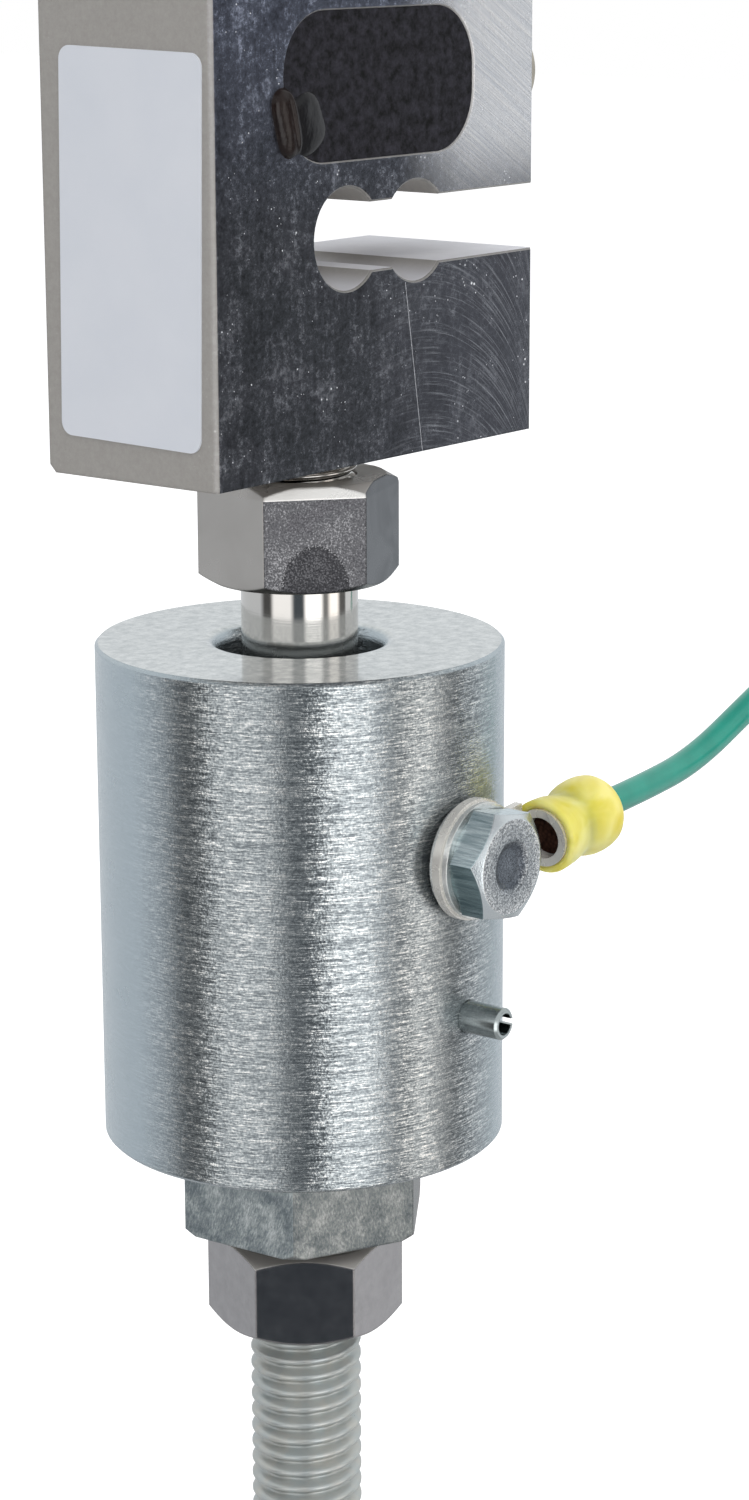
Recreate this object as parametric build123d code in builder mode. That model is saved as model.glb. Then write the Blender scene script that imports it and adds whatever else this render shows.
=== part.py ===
from build123d import *
from math import cos, pi, radians, sin, sqrt, tan
import os

os.makedirs("parts", exist_ok=True)

# S-shaped load cell block, in millimetres: the origin is the centre of its top
# face and the load axis runs down -Z. X is its width and Y its depth.
cell_width = 53.4
cell_depth = 23.0
cell_height = 77.8
cell_edge_chamfer = 0.4
cell_foot_chamfer = 1.2
cell_burr_chamfer = 0.2
flexure_hole_diameter = 10.5
flexure_hole_offset = 5.75
flexure_slot_height = 7.0
flexure_level = 15.45
cell_thread_depth = 14.0

# Gauge pockets in the front and the rear face, with the web between them
pocket_length = 31.3
pocket_height = 15.0
pocket_corner_radius = 6.3
pocket_depth = 9.5
pocket_rim_chamfer = 0.15
potting_recess = 0.15
gauge_length = 7.0
gauge_width = 4.5
gauge_thickness = 0.2
gauge_offset = 5.5
board_length = 9.0
board_width = 2.5
board_gap = 0.6
board_thickness = 0.8
lead_passage_diameter = 4.0
inlet_hole_diameter = 5.0
inlet_offset = 5.6
bush_diameter = 9.0
bush_depth = 6.0
bush_flange_diameter = 11.0
bush_flange_thickness = 1.2

# Bead of sealant over the pocket's left end, and the label on the left side
bead_length = 7.2
bead_width = 5.0
bead_height = 0.9
bead_lean = 16.0
bead_place = (-15.2, -42.3)
label_height = 39.1
label_width = 18.7
label_thickness = 0.2
label_corner_radius = 1.4
label_place = (-0.6, -54.3)
label_turn = 1.2

# Half inch threads: crests of the studs, bores of the tapped holes
thread_radius = 6.35
thread_fit = 0.05
rod_crest_radius = 6.25
rod_pitch_radius = 5.72
rod_runout = 1.0
end_chamfer = 1.0

# Lock nuts, three quarters of an inch across flats, standing off their faces
nut_across_flats = 19.05
upper_nut_height = 11.4
upper_nut_gap = 2.6
upper_nut_turn = 19.6
upper_nut_face_inset = 0.125
lower_nut_height = 10.4
lower_nut_gap = 1.9
lower_nut_turn = 9.0
lower_nut_face_inset = 0.525
nut_cone_angle = 30.0
upper_nut_bevel_height = 1.3
upper_nut_bevel_angle = 14.0

# Stud with a ball at its lower end
shank_radius = 6.35
stud_gap = 6.7
ball_radius = 9.525
ball_flat_drop = 6.5
ball_depth = 22.0
tilt_limit = 4.0

# Seat of the ball: insulating cup, seat washer, thrust washer
sphere_gap = 0.3
cup_thickness = 1.975
cup_hole_radius = 7.6
cup_rise = 8.2
cup_base_rise = 1.0
seat_hole_radius = 8.5
seat_rise = 12.0
seat_base_rise = 1.5
seat_running_gap = 0.1
thrust_washer_thickness = 1.6
bore_fit = 0.25

# Cylindrical coupling housing
housing_diameter = 44.45
housing_height = 55.5
housing_bore_diameter = 28.6
housing_hole_diameter = 18.0
housing_hole_rounding = 1.4
housing_edge_chamfer = 0.35
housing_mouth_chamfer = 0.8

# Insulating spacer between the ball and the end plug
spacer_floor_drop = 8.2
spacer_floor_thickness = 2.5
spacer_bore_radius = 12.25
spacer_top_gap = 0.3

# End plug with a one inch hexagon
plug_across_flats = 25.4
plug_hex_height = 10.9
plug_hex_turn = 34.3
plug_hex_face_margin = 1.3
plug_edge_angle = 45.0

# Slotted spring pin that locks the plug
pin_diameter = 3.5
pin_wall = 0.55
pin_slit = 0.7
pin_length = 19.0
pin_reach = 4.8
pin_turn = 2.2
pin_drop = 6.1
pin_end_chamfer = 0.25
pin_fit = 0.03

# Quarter inch ground bolt and its stack
bolt_drop = 20.8
bolt_radius = 3.125
bolt_engagement = 7.0
bolt_across_flats = 11.11
bolt_head_turn = 50.0
bolt_head_height = 3.85
bolt_face_inset = 0.355
bolt_washer_face = 0.4
bolt_recess_radius = 2.9
bolt_recess_depth = 0.55
bolt_recess_slope = 62.0
lock_washer_radius = 6.0
lock_washer_thickness = 0.7
lock_washer_teeth = 10
flat_washer_radius = 6.3
flat_washer_thickness = 0.8
washer_hole_radius = 3.4

# Ring terminals with sleeves
terminal_angle = 5.5
ring_radius = 6.55
ring_hole_radius = 3.3
tongue_thickness = 0.95
neck_half_width = 3.6
barrel_start = 8.6
barrel_length = 8.0
barrel_radius = 3.2
barrel_bore_radius = 2.3
conductor_recess = 1.6
sleeve_setback = 0.3
sleeve_length = 12.0
sleeve_fit = 0.05
sleeve_mouth_radius = 4.1
sleeve_shoulder_radius = 3.95
sleeve_waist_radius = 3.6
sleeve_swell_radius = 4.4
sleeve_rear_radius = 4.0
sleeve_tail_radius = 2.5

# Ground wire and its route: straight out of the sleeve, up in a shallow bow,
# over, and down to hang free. Each point is measured from the bolt's axis on
# the housing's front: to the right, inwards and up
wire_radius = 1.55
wire_exit_run = 7.0
wire_route = [
    (36.4, -3.9, 2.3),
    (49.5, -4.0, 7.3),
    (64.8, -4.6, 12.0),
    (80.8, -5.6, 11.4),
    (93.5, -6.8, 3.5),
    (101.0, -7.8, -9.5),
    (104.8, -8.6, -31.2),
    (105.4, -9.2, -63.2),
    (104.5, -8.8, -97.2),
    (104.5, -8.8, -127.2),
]

# Threaded rod at the lower end
rod_length = 63.5
rod_exposed_length = 30.8

# Levels and radii that follow from the sizes above
cell_mid = -cell_height / 2
pocket_floor = cell_depth / 2 - pocket_depth
thread_bore_radius = thread_radius
engaged_radius = thread_radius - thread_fit
upper_nut_top = -cell_height - upper_nut_gap
upper_nut_bottom = upper_nut_top - upper_nut_height
housing_top = upper_nut_bottom - stud_gap
housing_bottom = housing_top - housing_height
housing_radius = housing_diameter / 2
housing_bore_radius = housing_bore_diameter / 2
ball_level = housing_top - ball_depth
cup_inner_radius = ball_radius + sphere_gap
cup_outer_radius = cup_inner_radius + cup_thickness
seat_sphere_radius = cup_outer_radius + sphere_gap
seat_outer_radius = housing_bore_radius - bore_fit
seat_top = ball_level + seat_rise
thrust_washer_bottom = seat_top + seat_running_gap
shoulder_level = thrust_washer_bottom + thrust_washer_thickness
spacer_floor_top = ball_level - spacer_floor_drop
plug_top = spacer_floor_top - spacer_floor_thickness
plug_bottom = housing_bottom - plug_hex_height
lower_nut_top = plug_bottom - lower_nut_gap
lower_nut_bottom = lower_nut_top - lower_nut_height
rod_bottom = lower_nut_bottom - rod_exposed_length
rod_top = rod_bottom + rod_length
bolt_height = housing_top - bolt_drop
pin_height = plug_top - pin_drop
upper_nut_face_radius = nut_across_flats / 2 - upper_nut_face_inset
lower_nut_face_radius = nut_across_flats / 2 - lower_nut_face_inset
plug_hex_face_radius = plug_across_flats / 2 + plug_hex_face_margin
bolt_face_radius = bolt_across_flats / 2 - bolt_face_inset

# Planes of the pieces on the housing's front: the bolt's axis points along -Y,
# and the pin was driven in a little to its right
bolt_plane = Plane(origin=(0, -housing_radius, bolt_height), x_dir=(1, 0, 0), z_dir=(0, -1, 0))
pin_heading = Vector(sin(radians(pin_turn)), -cos(radians(pin_turn)), 0)
pin_across = Vector(cos(radians(pin_turn)), sin(radians(pin_turn)), 0)
pin_centre = pin_heading * housing_radius + Vector(0, 0, pin_height)
pin_plane = Plane(origin=pin_centre, x_dir=pin_across, z_dir=pin_heading)
tongue_rise = lock_washer_thickness
flat_washer_rise = tongue_rise + tongue_thickness
head_rise = flat_washer_rise + flat_washer_thickness


# Load cell block: one milled bar, cut to an S by two slots that end in pairs of
# round flexure holes
with BuildPart() as load_cell_body:
    with Locations((0, 0, cell_mid)):
        Box(cell_width, cell_depth, cell_height)
    with BuildSketch(Plane.XZ) as flexure_outline:
        for side in (1, -1):
            level = cell_mid - side * flexure_level
            slot_run = cell_width / 2 + flexure_slot_height
            with Locations((flexure_hole_offset, level), (-flexure_hole_offset, level)):
                Circle(flexure_hole_diameter / 2)
            with Locations((side * (slot_run - flexure_hole_offset) / 2, level)):
                Rectangle(slot_run + flexure_hole_offset, flexure_slot_height)
    extrude(amount=cell_depth, both=True, mode=Mode.SUBTRACT)
    slot_rims = load_cell_body.edges().filter_by(
        lambda edge: abs(abs(edge.center().Y) - cell_depth / 2) < 0.01
        and abs(edge.center().Z - cell_mid) < cell_height / 2 - 0.01
        and abs(edge.center().X) < cell_width / 2 - 0.01
    )
    chamfer(slot_rims, cell_burr_chamfer)
    for side in (1, -1):
        with BuildSketch(Plane.XZ.offset(side * pocket_floor)) as pocket_outline:
            with Locations((0, cell_mid)):
                RectangleRounded(pocket_length, pocket_height, pocket_corner_radius)
        extrude(amount=side * pocket_depth, mode=Mode.SUBTRACT)
    pocket_rims = load_cell_body.edges().filter_by(
        lambda edge: abs(abs(edge.center().Y) - cell_depth / 2) < 0.01
        and abs(edge.center().Z - cell_mid) <= pocket_height / 2 + 0.01
        and abs(edge.center().X) <= pocket_length / 2 + 0.01
    )
    chamfer(pocket_rims, pocket_rim_chamfer)
    outer_edges = load_cell_body.edges().filter_by(
        lambda edge: abs(abs(edge.center().X) - cell_width / 2) < 0.01
        and abs(abs(edge.center().Y) - cell_depth / 2) < 0.01
    )
    chamfer(outer_edges, cell_edge_chamfer)
    rear_edges = load_cell_body.faces().sort_by(Axis.Y)[-1].edges().filter_by(Axis.X)
    chamfer(rear_edges.sort_by(Axis.Z)[0], cell_foot_chamfer)
    for level, depth_sign in ((0, -1), (-cell_height, 1)):
        with BuildSketch(Plane.XY.offset(level)) as thread_outline:
            Circle(thread_bore_radius)
        extrude(amount=depth_sign * cell_thread_depth, mode=Mode.SUBTRACT)
    with BuildSketch(Plane.XZ.offset(-pocket_floor)) as passage_outline:
        with Locations((pocket_length / 2 - lead_passage_diameter, cell_mid)):
            Circle(lead_passage_diameter / 2)
    extrude(amount=2 * pocket_floor, mode=Mode.SUBTRACT)
    with BuildSketch(Plane.YZ.offset(cell_width / 2)) as inlet_outline:
        with Locations((-inlet_offset, cell_mid)):
            Circle(inlet_hole_diameter / 2)
    extrude(amount=-(cell_width - pocket_length) / 2 - 2 * cell_edge_chamfer, mode=Mode.SUBTRACT)
    with BuildSketch(Plane.YZ.offset(cell_width / 2)) as bush_seat_outline:
        with Locations((-inlet_offset, cell_mid)):
            Circle(bush_diameter / 2)
    extrude(amount=-bush_depth, mode=Mode.SUBTRACT)
load_cell_body.part.label = "load_cell_body"
export_step(load_cell_body.part, "parts/load_cell_body.step")

# Foil strain gauges: a pair on each side of the web, turned to its shear lines
with BuildPart() as strain_gauges:
    for side in (1, -1):
        for place in (1, -1):
            with BuildSketch(Plane.XZ.offset(side * pocket_floor)) as gauge_outline:
                with Locations((place * gauge_offset, cell_mid)):
                    Rectangle(gauge_length, gauge_width, rotation=place * 45)
            extrude(amount=side * gauge_thickness)
strain_gauges.part.label = "strain_gauges"
export_step(strain_gauges.part, "parts/strain_gauges.step")

# Solder terminal boards, one between the gauges of each pocket
with BuildPart() as terminal_boards:
    for side in (1, -1):
        with BuildSketch(Plane.XZ.offset(side * pocket_floor)) as board_outline:
            with Locations((0, cell_mid - (pocket_height - board_width) / 2 + board_gap)):
                Rectangle(board_length, board_width)
        extrude(amount=side * board_thickness)
terminal_boards.part.label = "terminal_boards"
export_step(terminal_boards.part, "parts/terminal_boards.step")

# Black potting that fills each pocket over the gauges
for name, side in (("front_potting", 1), ("rear_potting", -1)):
    with BuildPart() as potting:
        with BuildSketch(Plane.XZ.offset(side * pocket_floor)) as potting_outline:
            with Locations((0, cell_mid)):
                RectangleRounded(pocket_length, pocket_height, pocket_corner_radius)
        extrude(amount=side * (pocket_depth - potting_recess))
        add(strain_gauges.part, mode=Mode.SUBTRACT)
        add(terminal_boards.part, mode=Mode.SUBTRACT)
    potting.part.label = name
    export_step(potting.part, f"parts/{name}.step")

# Bead of sealant that laps from the potting over the pocket's left rim
with BuildPart() as sealant_bead:
    with BuildSketch(Plane.XZ.offset(cell_depth / 2 - potting_recess)) as bead_outline:
        with Locations(bead_place):
            Ellipse(bead_length / 2, bead_width / 2, rotation=90 + bead_lean)
    extrude(amount=bead_height + potting_recess)
    fillet(sealant_bead.faces().sort_by(Axis.Y)[0].edges(), bead_height * 0.6)
    add(load_cell_body.part, mode=Mode.SUBTRACT)
sealant_bead.part.label = "sealant_bead"
export_step(sealant_bead.part, "parts/sealant_bead.step")

# Bush in the cable inlet on the right side
with BuildPart() as cable_inlet_bush:
    with BuildSketch(Plane.YZ.offset(cell_width / 2)) as bush_flange_outline:
        with Locations((-inlet_offset, cell_mid)):
            Circle(bush_flange_diameter / 2)
    extrude(amount=bush_flange_thickness)
    chamfer(cable_inlet_bush.faces().sort_by(Axis.X)[-1].edges(), cell_edge_chamfer)
    with BuildSketch(Plane.YZ.offset(cell_width / 2)) as bush_outline:
        with Locations((-inlet_offset, cell_mid)):
            Circle(bush_diameter / 2)
    extrude(amount=-bush_depth)
    with BuildSketch(Plane.YZ.offset(cell_width / 2 + bush_flange_thickness)) as bush_bore:
        with Locations((-inlet_offset, cell_mid)):
            Circle(inlet_hole_diameter / 2)
    extrude(amount=-bush_depth - bush_flange_thickness, mode=Mode.SUBTRACT)
cable_inlet_bush.part.label = "cable_inlet_bush"
export_step(cable_inlet_bush.part, "parts/cable_inlet_bush.step")

# Foil label on the left side, stuck on a little askew
label_centre = (-cell_width / 2, label_place[0], label_place[1])
label_plane = Plane(origin=label_centre, x_dir=(0, -1, 0), z_dir=(-1, 0, 0))
with BuildPart() as rating_label:
    with BuildSketch(label_plane) as label_outline:
        RectangleRounded(label_width, label_height, label_corner_radius, rotation=-label_turn)
    extrude(amount=label_thickness)
rating_label.part.label = "rating_label"
export_step(rating_label.part, "parts/rating_label.step")


def hex_nut(top, height, turn, face_radius, bore_radius, bevel_height=0.0, bevel_angle=0.0):
    """Hexagon nut with both faces coned off, a plain bore, and flats that may lean in at the top."""
    corner_radius = nut_across_flats / 2 / cos(radians(30))
    cone_height = (corner_radius - face_radius) * tan(radians(nut_cone_angle))
    bottom = top - height
    with BuildPart() as nut:
        with BuildSketch(Plane.XY.offset(bottom)) as nut_outline:
            RegularPolygon(nut_across_flats / 2, 6, major_radius=False, rotation=turn)
        extrude(amount=height - bevel_height)
        if bevel_height:
            with BuildSketch(Plane.XY.offset(top - bevel_height)) as bevel_outline:
                RegularPolygon(nut_across_flats / 2, 6, major_radius=False, rotation=turn)
            extrude(amount=bevel_height, taper=bevel_angle)
        with BuildSketch(Plane.XZ) as cone_outline:
            with BuildLine():
                Polyline(
                    (0, bottom),
                    (face_radius, bottom),
                    (corner_radius, bottom + cone_height),
                    (corner_radius, top - cone_height),
                    (face_radius, top),
                    (0, top),
                    close=True,
                )
            make_face()
        revolve(axis=Axis.Z, mode=Mode.INTERSECT)
        with BuildSketch(Plane.XY.offset(bottom)) as bore_outline:
            Circle(bore_radius)
        extrude(amount=height, mode=Mode.SUBTRACT)
    return nut


# Lock nuts: the upper one on the stud is bored at its thread's root, the lower
# one on the rod at its thread's pitch line
upper_lock_nut = hex_nut(
    upper_nut_top,
    upper_nut_height,
    upper_nut_turn,
    upper_nut_face_radius,
    thread_bore_radius,
    upper_nut_bevel_height,
    upper_nut_bevel_angle,
)
upper_lock_nut.part.label = "upper_lock_nut"
export_step(upper_lock_nut.part, "parts/upper_lock_nut.step")
lower_lock_nut = hex_nut(
    lower_nut_top, lower_nut_height, lower_nut_turn, lower_nut_face_radius, rod_pitch_radius
)
lower_lock_nut.part.label = "lower_lock_nut"
export_step(lower_lock_nut.part, "parts/lower_lock_nut.step")

# Stud: threaded into the block, ground below the nut, with a ball at its foot
stud_top = -cell_height + cell_thread_depth - 2 * thread_fit
thread_end = upper_nut_bottom - 4 * thread_fit
neck_level = ball_level + sqrt(ball_radius**2 - shank_radius**2)
ball_flat_radius = sqrt(ball_radius**2 - ball_flat_drop**2)
with BuildPart() as swivel_stud:
    with BuildSketch(Plane.XZ) as stud_outline:
        with BuildLine():
            Polyline(
                (0, ball_level - ball_flat_drop),
                (0, stud_top),
                (engaged_radius - end_chamfer, stud_top),
                (engaged_radius, stud_top - end_chamfer),
                (engaged_radius, thread_end),
                (shank_radius, thread_end - thread_fit),
                (shank_radius, neck_level),
            )
            ThreePointArc(
                (shank_radius, neck_level),
                (ball_radius, ball_level),
                (ball_flat_radius, ball_level - ball_flat_drop),
            )
            Line((ball_flat_radius, ball_level - ball_flat_drop), (0, ball_level - ball_flat_drop))
        make_face()
    revolve(axis=Axis.Z)
swivel_stud.part.label = "swivel_stud"
export_step(swivel_stud.part, "parts/swivel_stud.step")


def height_on_sphere(sphere_radius, radius):
    return sqrt(sphere_radius**2 - radius**2)


def middle_of_arc(sphere_radius, start, end):
    """Point half way along the arc of a sphere's profile, heights from its centre."""
    turn = (Vector(*start) + Vector(*end)).normalized() * sphere_radius
    return (turn.X, ball_level + turn.Y)


# Insulating cup: a moulded shell of two concentric spheres round the ball
cup_top_inner = (cup_hole_radius, height_on_sphere(cup_inner_radius, cup_hole_radius))
cup_base_inner = (height_on_sphere(cup_inner_radius, cup_base_rise), cup_base_rise)
cup_base_outer = (height_on_sphere(cup_outer_radius, cup_base_rise), cup_base_rise)
cup_top_outer = (height_on_sphere(cup_outer_radius, cup_rise), cup_rise)
with BuildPart() as insulating_cup:
    with BuildSketch(Plane.XZ) as cup_outline:
        with BuildLine():
            ThreePointArc(
                (cup_top_inner[0], ball_level + cup_top_inner[1]),
                middle_of_arc(cup_inner_radius, cup_top_inner, cup_base_inner),
                (cup_base_inner[0], ball_level + cup_base_inner[1]),
            )
            Line(
                (cup_base_inner[0], ball_level + cup_base_rise),
                (cup_base_outer[0], ball_level + cup_base_rise),
            )
            ThreePointArc(
                (cup_base_outer[0], ball_level + cup_base_outer[1]),
                middle_of_arc(cup_outer_radius, cup_base_outer, cup_top_outer),
                (cup_top_outer[0], ball_level + cup_top_outer[1]),
            )
            Polyline(
                (cup_top_outer[0], ball_level + cup_rise),
                (cup_hole_radius, ball_level + cup_rise),
                (cup_hole_radius, ball_level + cup_top_inner[1]),
            )
        make_face()
    revolve(axis=Axis.Z)
insulating_cup.part.label = "insulating_cup"
export_step(insulating_cup.part, "parts/insulating_cup.step")

# Seat washer: turned steel ring with a spherical pocket under its hole
seat_pocket_top = (seat_hole_radius, height_on_sphere(seat_sphere_radius, seat_hole_radius))
seat_pocket_base = (height_on_sphere(seat_sphere_radius, seat_base_rise), seat_base_rise)
with BuildPart() as seat_washer:
    with BuildSketch(Plane.XZ) as seat_outline:
        with BuildLine():
            ThreePointArc(
                (seat_pocket_top[0], ball_level + seat_pocket_top[1]),
                middle_of_arc(seat_sphere_radius, seat_pocket_top, seat_pocket_base),
                (seat_pocket_base[0], ball_level + seat_pocket_base[1]),
            )
            Polyline(
                (seat_pocket_base[0], ball_level + seat_base_rise),
                (seat_outer_radius, ball_level + seat_base_rise),
                (seat_outer_radius, seat_top),
                (seat_hole_radius, seat_top),
                (seat_hole_radius, ball_level + seat_pocket_top[1]),
            )
        make_face()
    revolve(axis=Axis.Z)
seat_washer.part.label = "seat_washer"
export_step(seat_washer.part, "parts/seat_washer.step")

# Thrust washer under the housing's shoulder
with BuildPart() as thrust_washer:
    with BuildSketch(Plane.XY.offset(thrust_washer_bottom)) as thrust_outline:
        Circle(seat_outer_radius)
        Circle(housing_hole_diameter / 2, mode=Mode.SUBTRACT)
    extrude(amount=thrust_washer_thickness)
thrust_washer.part.label = "thrust_washer"
export_step(thrust_washer.part, "parts/thrust_washer.step")

# Housing: turned from bar, bored from below, with a round-lipped hole for the stud
with BuildPart() as coupling_housing:
    with BuildSketch(Plane.XY.offset(housing_bottom)) as housing_outline:
        Circle(housing_radius)
    extrude(amount=housing_height)
    chamfer(coupling_housing.edges().filter_by(GeomType.CIRCLE), housing_edge_chamfer)
    with BuildSketch(Plane.XY.offset(housing_bottom)) as bore_outline:
        Circle(housing_bore_radius)
    extrude(amount=shoulder_level - housing_bottom, mode=Mode.SUBTRACT)
    with BuildSketch(Plane.XY.offset(housing_bottom)) as stud_hole_outline:
        Circle(housing_hole_diameter / 2)
    extrude(amount=housing_height, mode=Mode.SUBTRACT)
    hole_rim = coupling_housing.edges().filter_by(GeomType.CIRCLE).filter_by(
        lambda edge: abs(edge.radius - housing_hole_diameter / 2) < 0.01
    )
    fillet(hole_rim.sort_by(Axis.Z)[-1], housing_hole_rounding)
    mouth_rim = coupling_housing.edges().filter_by(GeomType.CIRCLE).filter_by(
        lambda edge: abs(edge.radius - housing_bore_radius) < 0.01
    )
    chamfer(mouth_rim.sort_by(Axis.Z)[0], housing_mouth_chamfer)
    with BuildSketch(bolt_plane) as bolt_hole_outline:
        Circle(bolt_radius + thread_fit)
    extrude(amount=-housing_radius, mode=Mode.SUBTRACT)
    with BuildSketch(pin_plane) as pin_hole_outline:
        Circle(pin_diameter / 2 + pin_fit)
    extrude(amount=-housing_radius, mode=Mode.SUBTRACT)
coupling_housing.part.label = "coupling_housing"
export_step(coupling_housing.part, "parts/coupling_housing.step")

# Insulating spacer: a moulded pot that keeps the ball off the plug
with BuildPart() as insulating_spacer:
    with BuildSketch(Plane.XY.offset(plug_top)) as spacer_outline:
        Circle(seat_outer_radius)
    extrude(amount=ball_level + seat_base_rise - spacer_top_gap - plug_top)
    with BuildSketch(Plane.XY.offset(spacer_floor_top)) as spacer_bore:
        Circle(spacer_bore_radius)
    extrude(amount=seat_rise, mode=Mode.SUBTRACT)
insulating_spacer.part.label = "insulating_spacer"
export_step(insulating_spacer.part, "parts/insulating_spacer.step")

# End plug: threaded into the housing, hexagon outside, tapped through
plug_corner_radius = plug_across_flats / 2 / cos(radians(30))
plug_cone_height = (plug_corner_radius - plug_hex_face_radius) * tan(radians(plug_edge_angle))
with BuildPart() as end_plug:
    with BuildSketch(Plane.XY.offset(plug_bottom)) as plug_hex_outline:
        RegularPolygon(plug_across_flats / 2, 6, major_radius=False, rotation=plug_hex_turn)
    extrude(amount=plug_hex_height)
    with BuildSketch(Plane.XZ) as plug_cone_outline:
        with BuildLine():
            Polyline(
                (0, plug_bottom),
                (plug_hex_face_radius, plug_bottom),
                (plug_corner_radius, plug_bottom + plug_cone_height),
                (plug_corner_radius, housing_bottom),
                (0, housing_bottom),
                close=True,
            )
        make_face()
    revolve(axis=Axis.Z, mode=Mode.INTERSECT)
    with BuildSketch(Plane.XY.offset(housing_bottom)) as plug_thread_outline:
        Circle(housing_bore_radius - thread_fit)
    extrude(amount=plug_top - housing_bottom)
    chamfer(end_plug.faces().sort_by(Axis.Z)[-1].edges(), end_chamfer)
    with BuildSketch(Plane.XY.offset(plug_bottom)) as plug_bore_outline:
        Circle(rod_pitch_radius)
    extrude(amount=plug_top - plug_bottom, mode=Mode.SUBTRACT)
    with BuildSketch(pin_plane) as plug_pin_outline:
        Circle(pin_diameter / 2 + pin_fit)
    extrude(amount=-housing_radius, mode=Mode.SUBTRACT)
end_plug.part.label = "end_plug"
export_step(end_plug.part, "parts/end_plug.step")

# Slotted spring pin: a rolled tube, open on its right side
with BuildPart() as spring_pin:
    with BuildSketch(pin_plane.offset(pin_reach)) as pin_outline:
        Circle(pin_diameter / 2)
        Circle(pin_diameter / 2 - pin_wall, mode=Mode.SUBTRACT)
        with Locations((pin_diameter / 2, 0)):
            Rectangle(pin_diameter, pin_slit, mode=Mode.SUBTRACT)
    extrude(amount=-pin_length)
    pin_rims = spring_pin.edges().filter_by(GeomType.CIRCLE).filter_by(
        lambda edge: abs(edge.radius - pin_diameter / 2) < 0.01
    )
    chamfer(pin_rims, pin_end_chamfer)
spring_pin.part.label = "spring_pin"
export_step(spring_pin.part, "parts/spring_pin.step")

# Ground bolt: hexagon head with a washer face and a dished top
bolt_corner_radius = bolt_across_flats / 2 / cos(radians(30))
bolt_cone_height = (bolt_corner_radius - bolt_face_radius) * tan(radians(nut_cone_angle))
with BuildPart() as ground_bolt:
    with BuildSketch(bolt_plane.offset(head_rise)) as bolt_face_outline:
        Circle(bolt_across_flats / 2)
    extrude(amount=bolt_washer_face)
    with BuildSketch(bolt_plane.offset(head_rise + bolt_washer_face)) as head_outline:
        RegularPolygon(bolt_across_flats / 2, 6, major_radius=False, rotation=bolt_head_turn)
    extrude(amount=bolt_head_height - bolt_washer_face)
    with BuildSketch(Plane.YZ) as head_cone_outline:
        with BuildLine():
            face = -housing_radius - head_rise
            Polyline(
                (face, bolt_height),
                (face, bolt_height + bolt_corner_radius),
                (face - bolt_head_height + bolt_cone_height, bolt_height + bolt_corner_radius),
                (face - bolt_head_height, bolt_height + bolt_face_radius),
                (face - bolt_head_height, bolt_height),
                close=True,
            )
        make_face()
    revolve(axis=Axis((0, 0, bolt_height), (0, 1, 0)), mode=Mode.INTERSECT)
    with BuildSketch(bolt_plane.offset(head_rise + bolt_head_height)) as recess_outline:
        Circle(bolt_recess_radius)
    extrude(amount=-bolt_recess_depth, taper=bolt_recess_slope, mode=Mode.SUBTRACT)
    with BuildSketch(bolt_plane.offset(head_rise)) as bolt_shank_outline:
        Circle(bolt_radius)
    extrude(amount=-head_rise - bolt_engagement)
ground_bolt.part.label = "ground_bolt"
export_step(ground_bolt.part, "parts/ground_bolt.step")

# Internal tooth lock washer and plain washer under the bolt's head
with BuildPart() as lock_washer:
    with BuildSketch(bolt_plane) as lock_washer_outline:
        Circle(lock_washer_radius)
        Circle(washer_hole_radius, mode=Mode.SUBTRACT)
        with PolarLocations(washer_hole_radius, lock_washer_teeth):
            Rectangle(2 * (washer_hole_radius - bolt_radius) + 1.2, 1.0, mode=Mode.SUBTRACT)
    extrude(amount=lock_washer_thickness)
lock_washer.part.label = "lock_washer"
export_step(lock_washer.part, "parts/lock_washer.step")

with BuildPart() as flat_washer:
    with BuildSketch(bolt_plane.offset(flat_washer_rise)) as flat_washer_outline:
        Circle(flat_washer_radius)
        Circle(washer_hole_radius, mode=Mode.SUBTRACT)
    extrude(amount=flat_washer_thickness)
flat_washer.part.label = "flat_washer"
export_step(flat_washer.part, "parts/flat_washer.step")

# Ring terminals: each has its own plane, whose origin is the ring's centre on
# the tongue's inner face, whose x runs towards the wire and whose z points out
terminal_reach = barrel_start + sleeve_setback + sleeve_length
terminal_heading = Vector(cos(radians(terminal_angle)), 0, sin(radians(terminal_angle)))
near_plane = Plane(origin=bolt_plane.offset(tongue_rise).origin, x_dir=terminal_heading, z_dir=(0, -1, 0))
wire_start = near_plane.from_local_coords(Vector(terminal_reach, 0, barrel_radius))
wire_points = [wire_start, wire_start + terminal_heading * wire_exit_run]
wire_points += [bolt_plane.origin + Vector(*offset) for offset in wire_route]
wire_end = wire_points[-1]
far_heading = (wire_points[-2] - wire_end).normalized()
far_plane = Plane(
    origin=wire_end - far_heading * terminal_reach - Vector(0, -1, 0) * barrel_radius,
    x_dir=far_heading,
    z_dir=(0, -1, 0),
)

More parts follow.
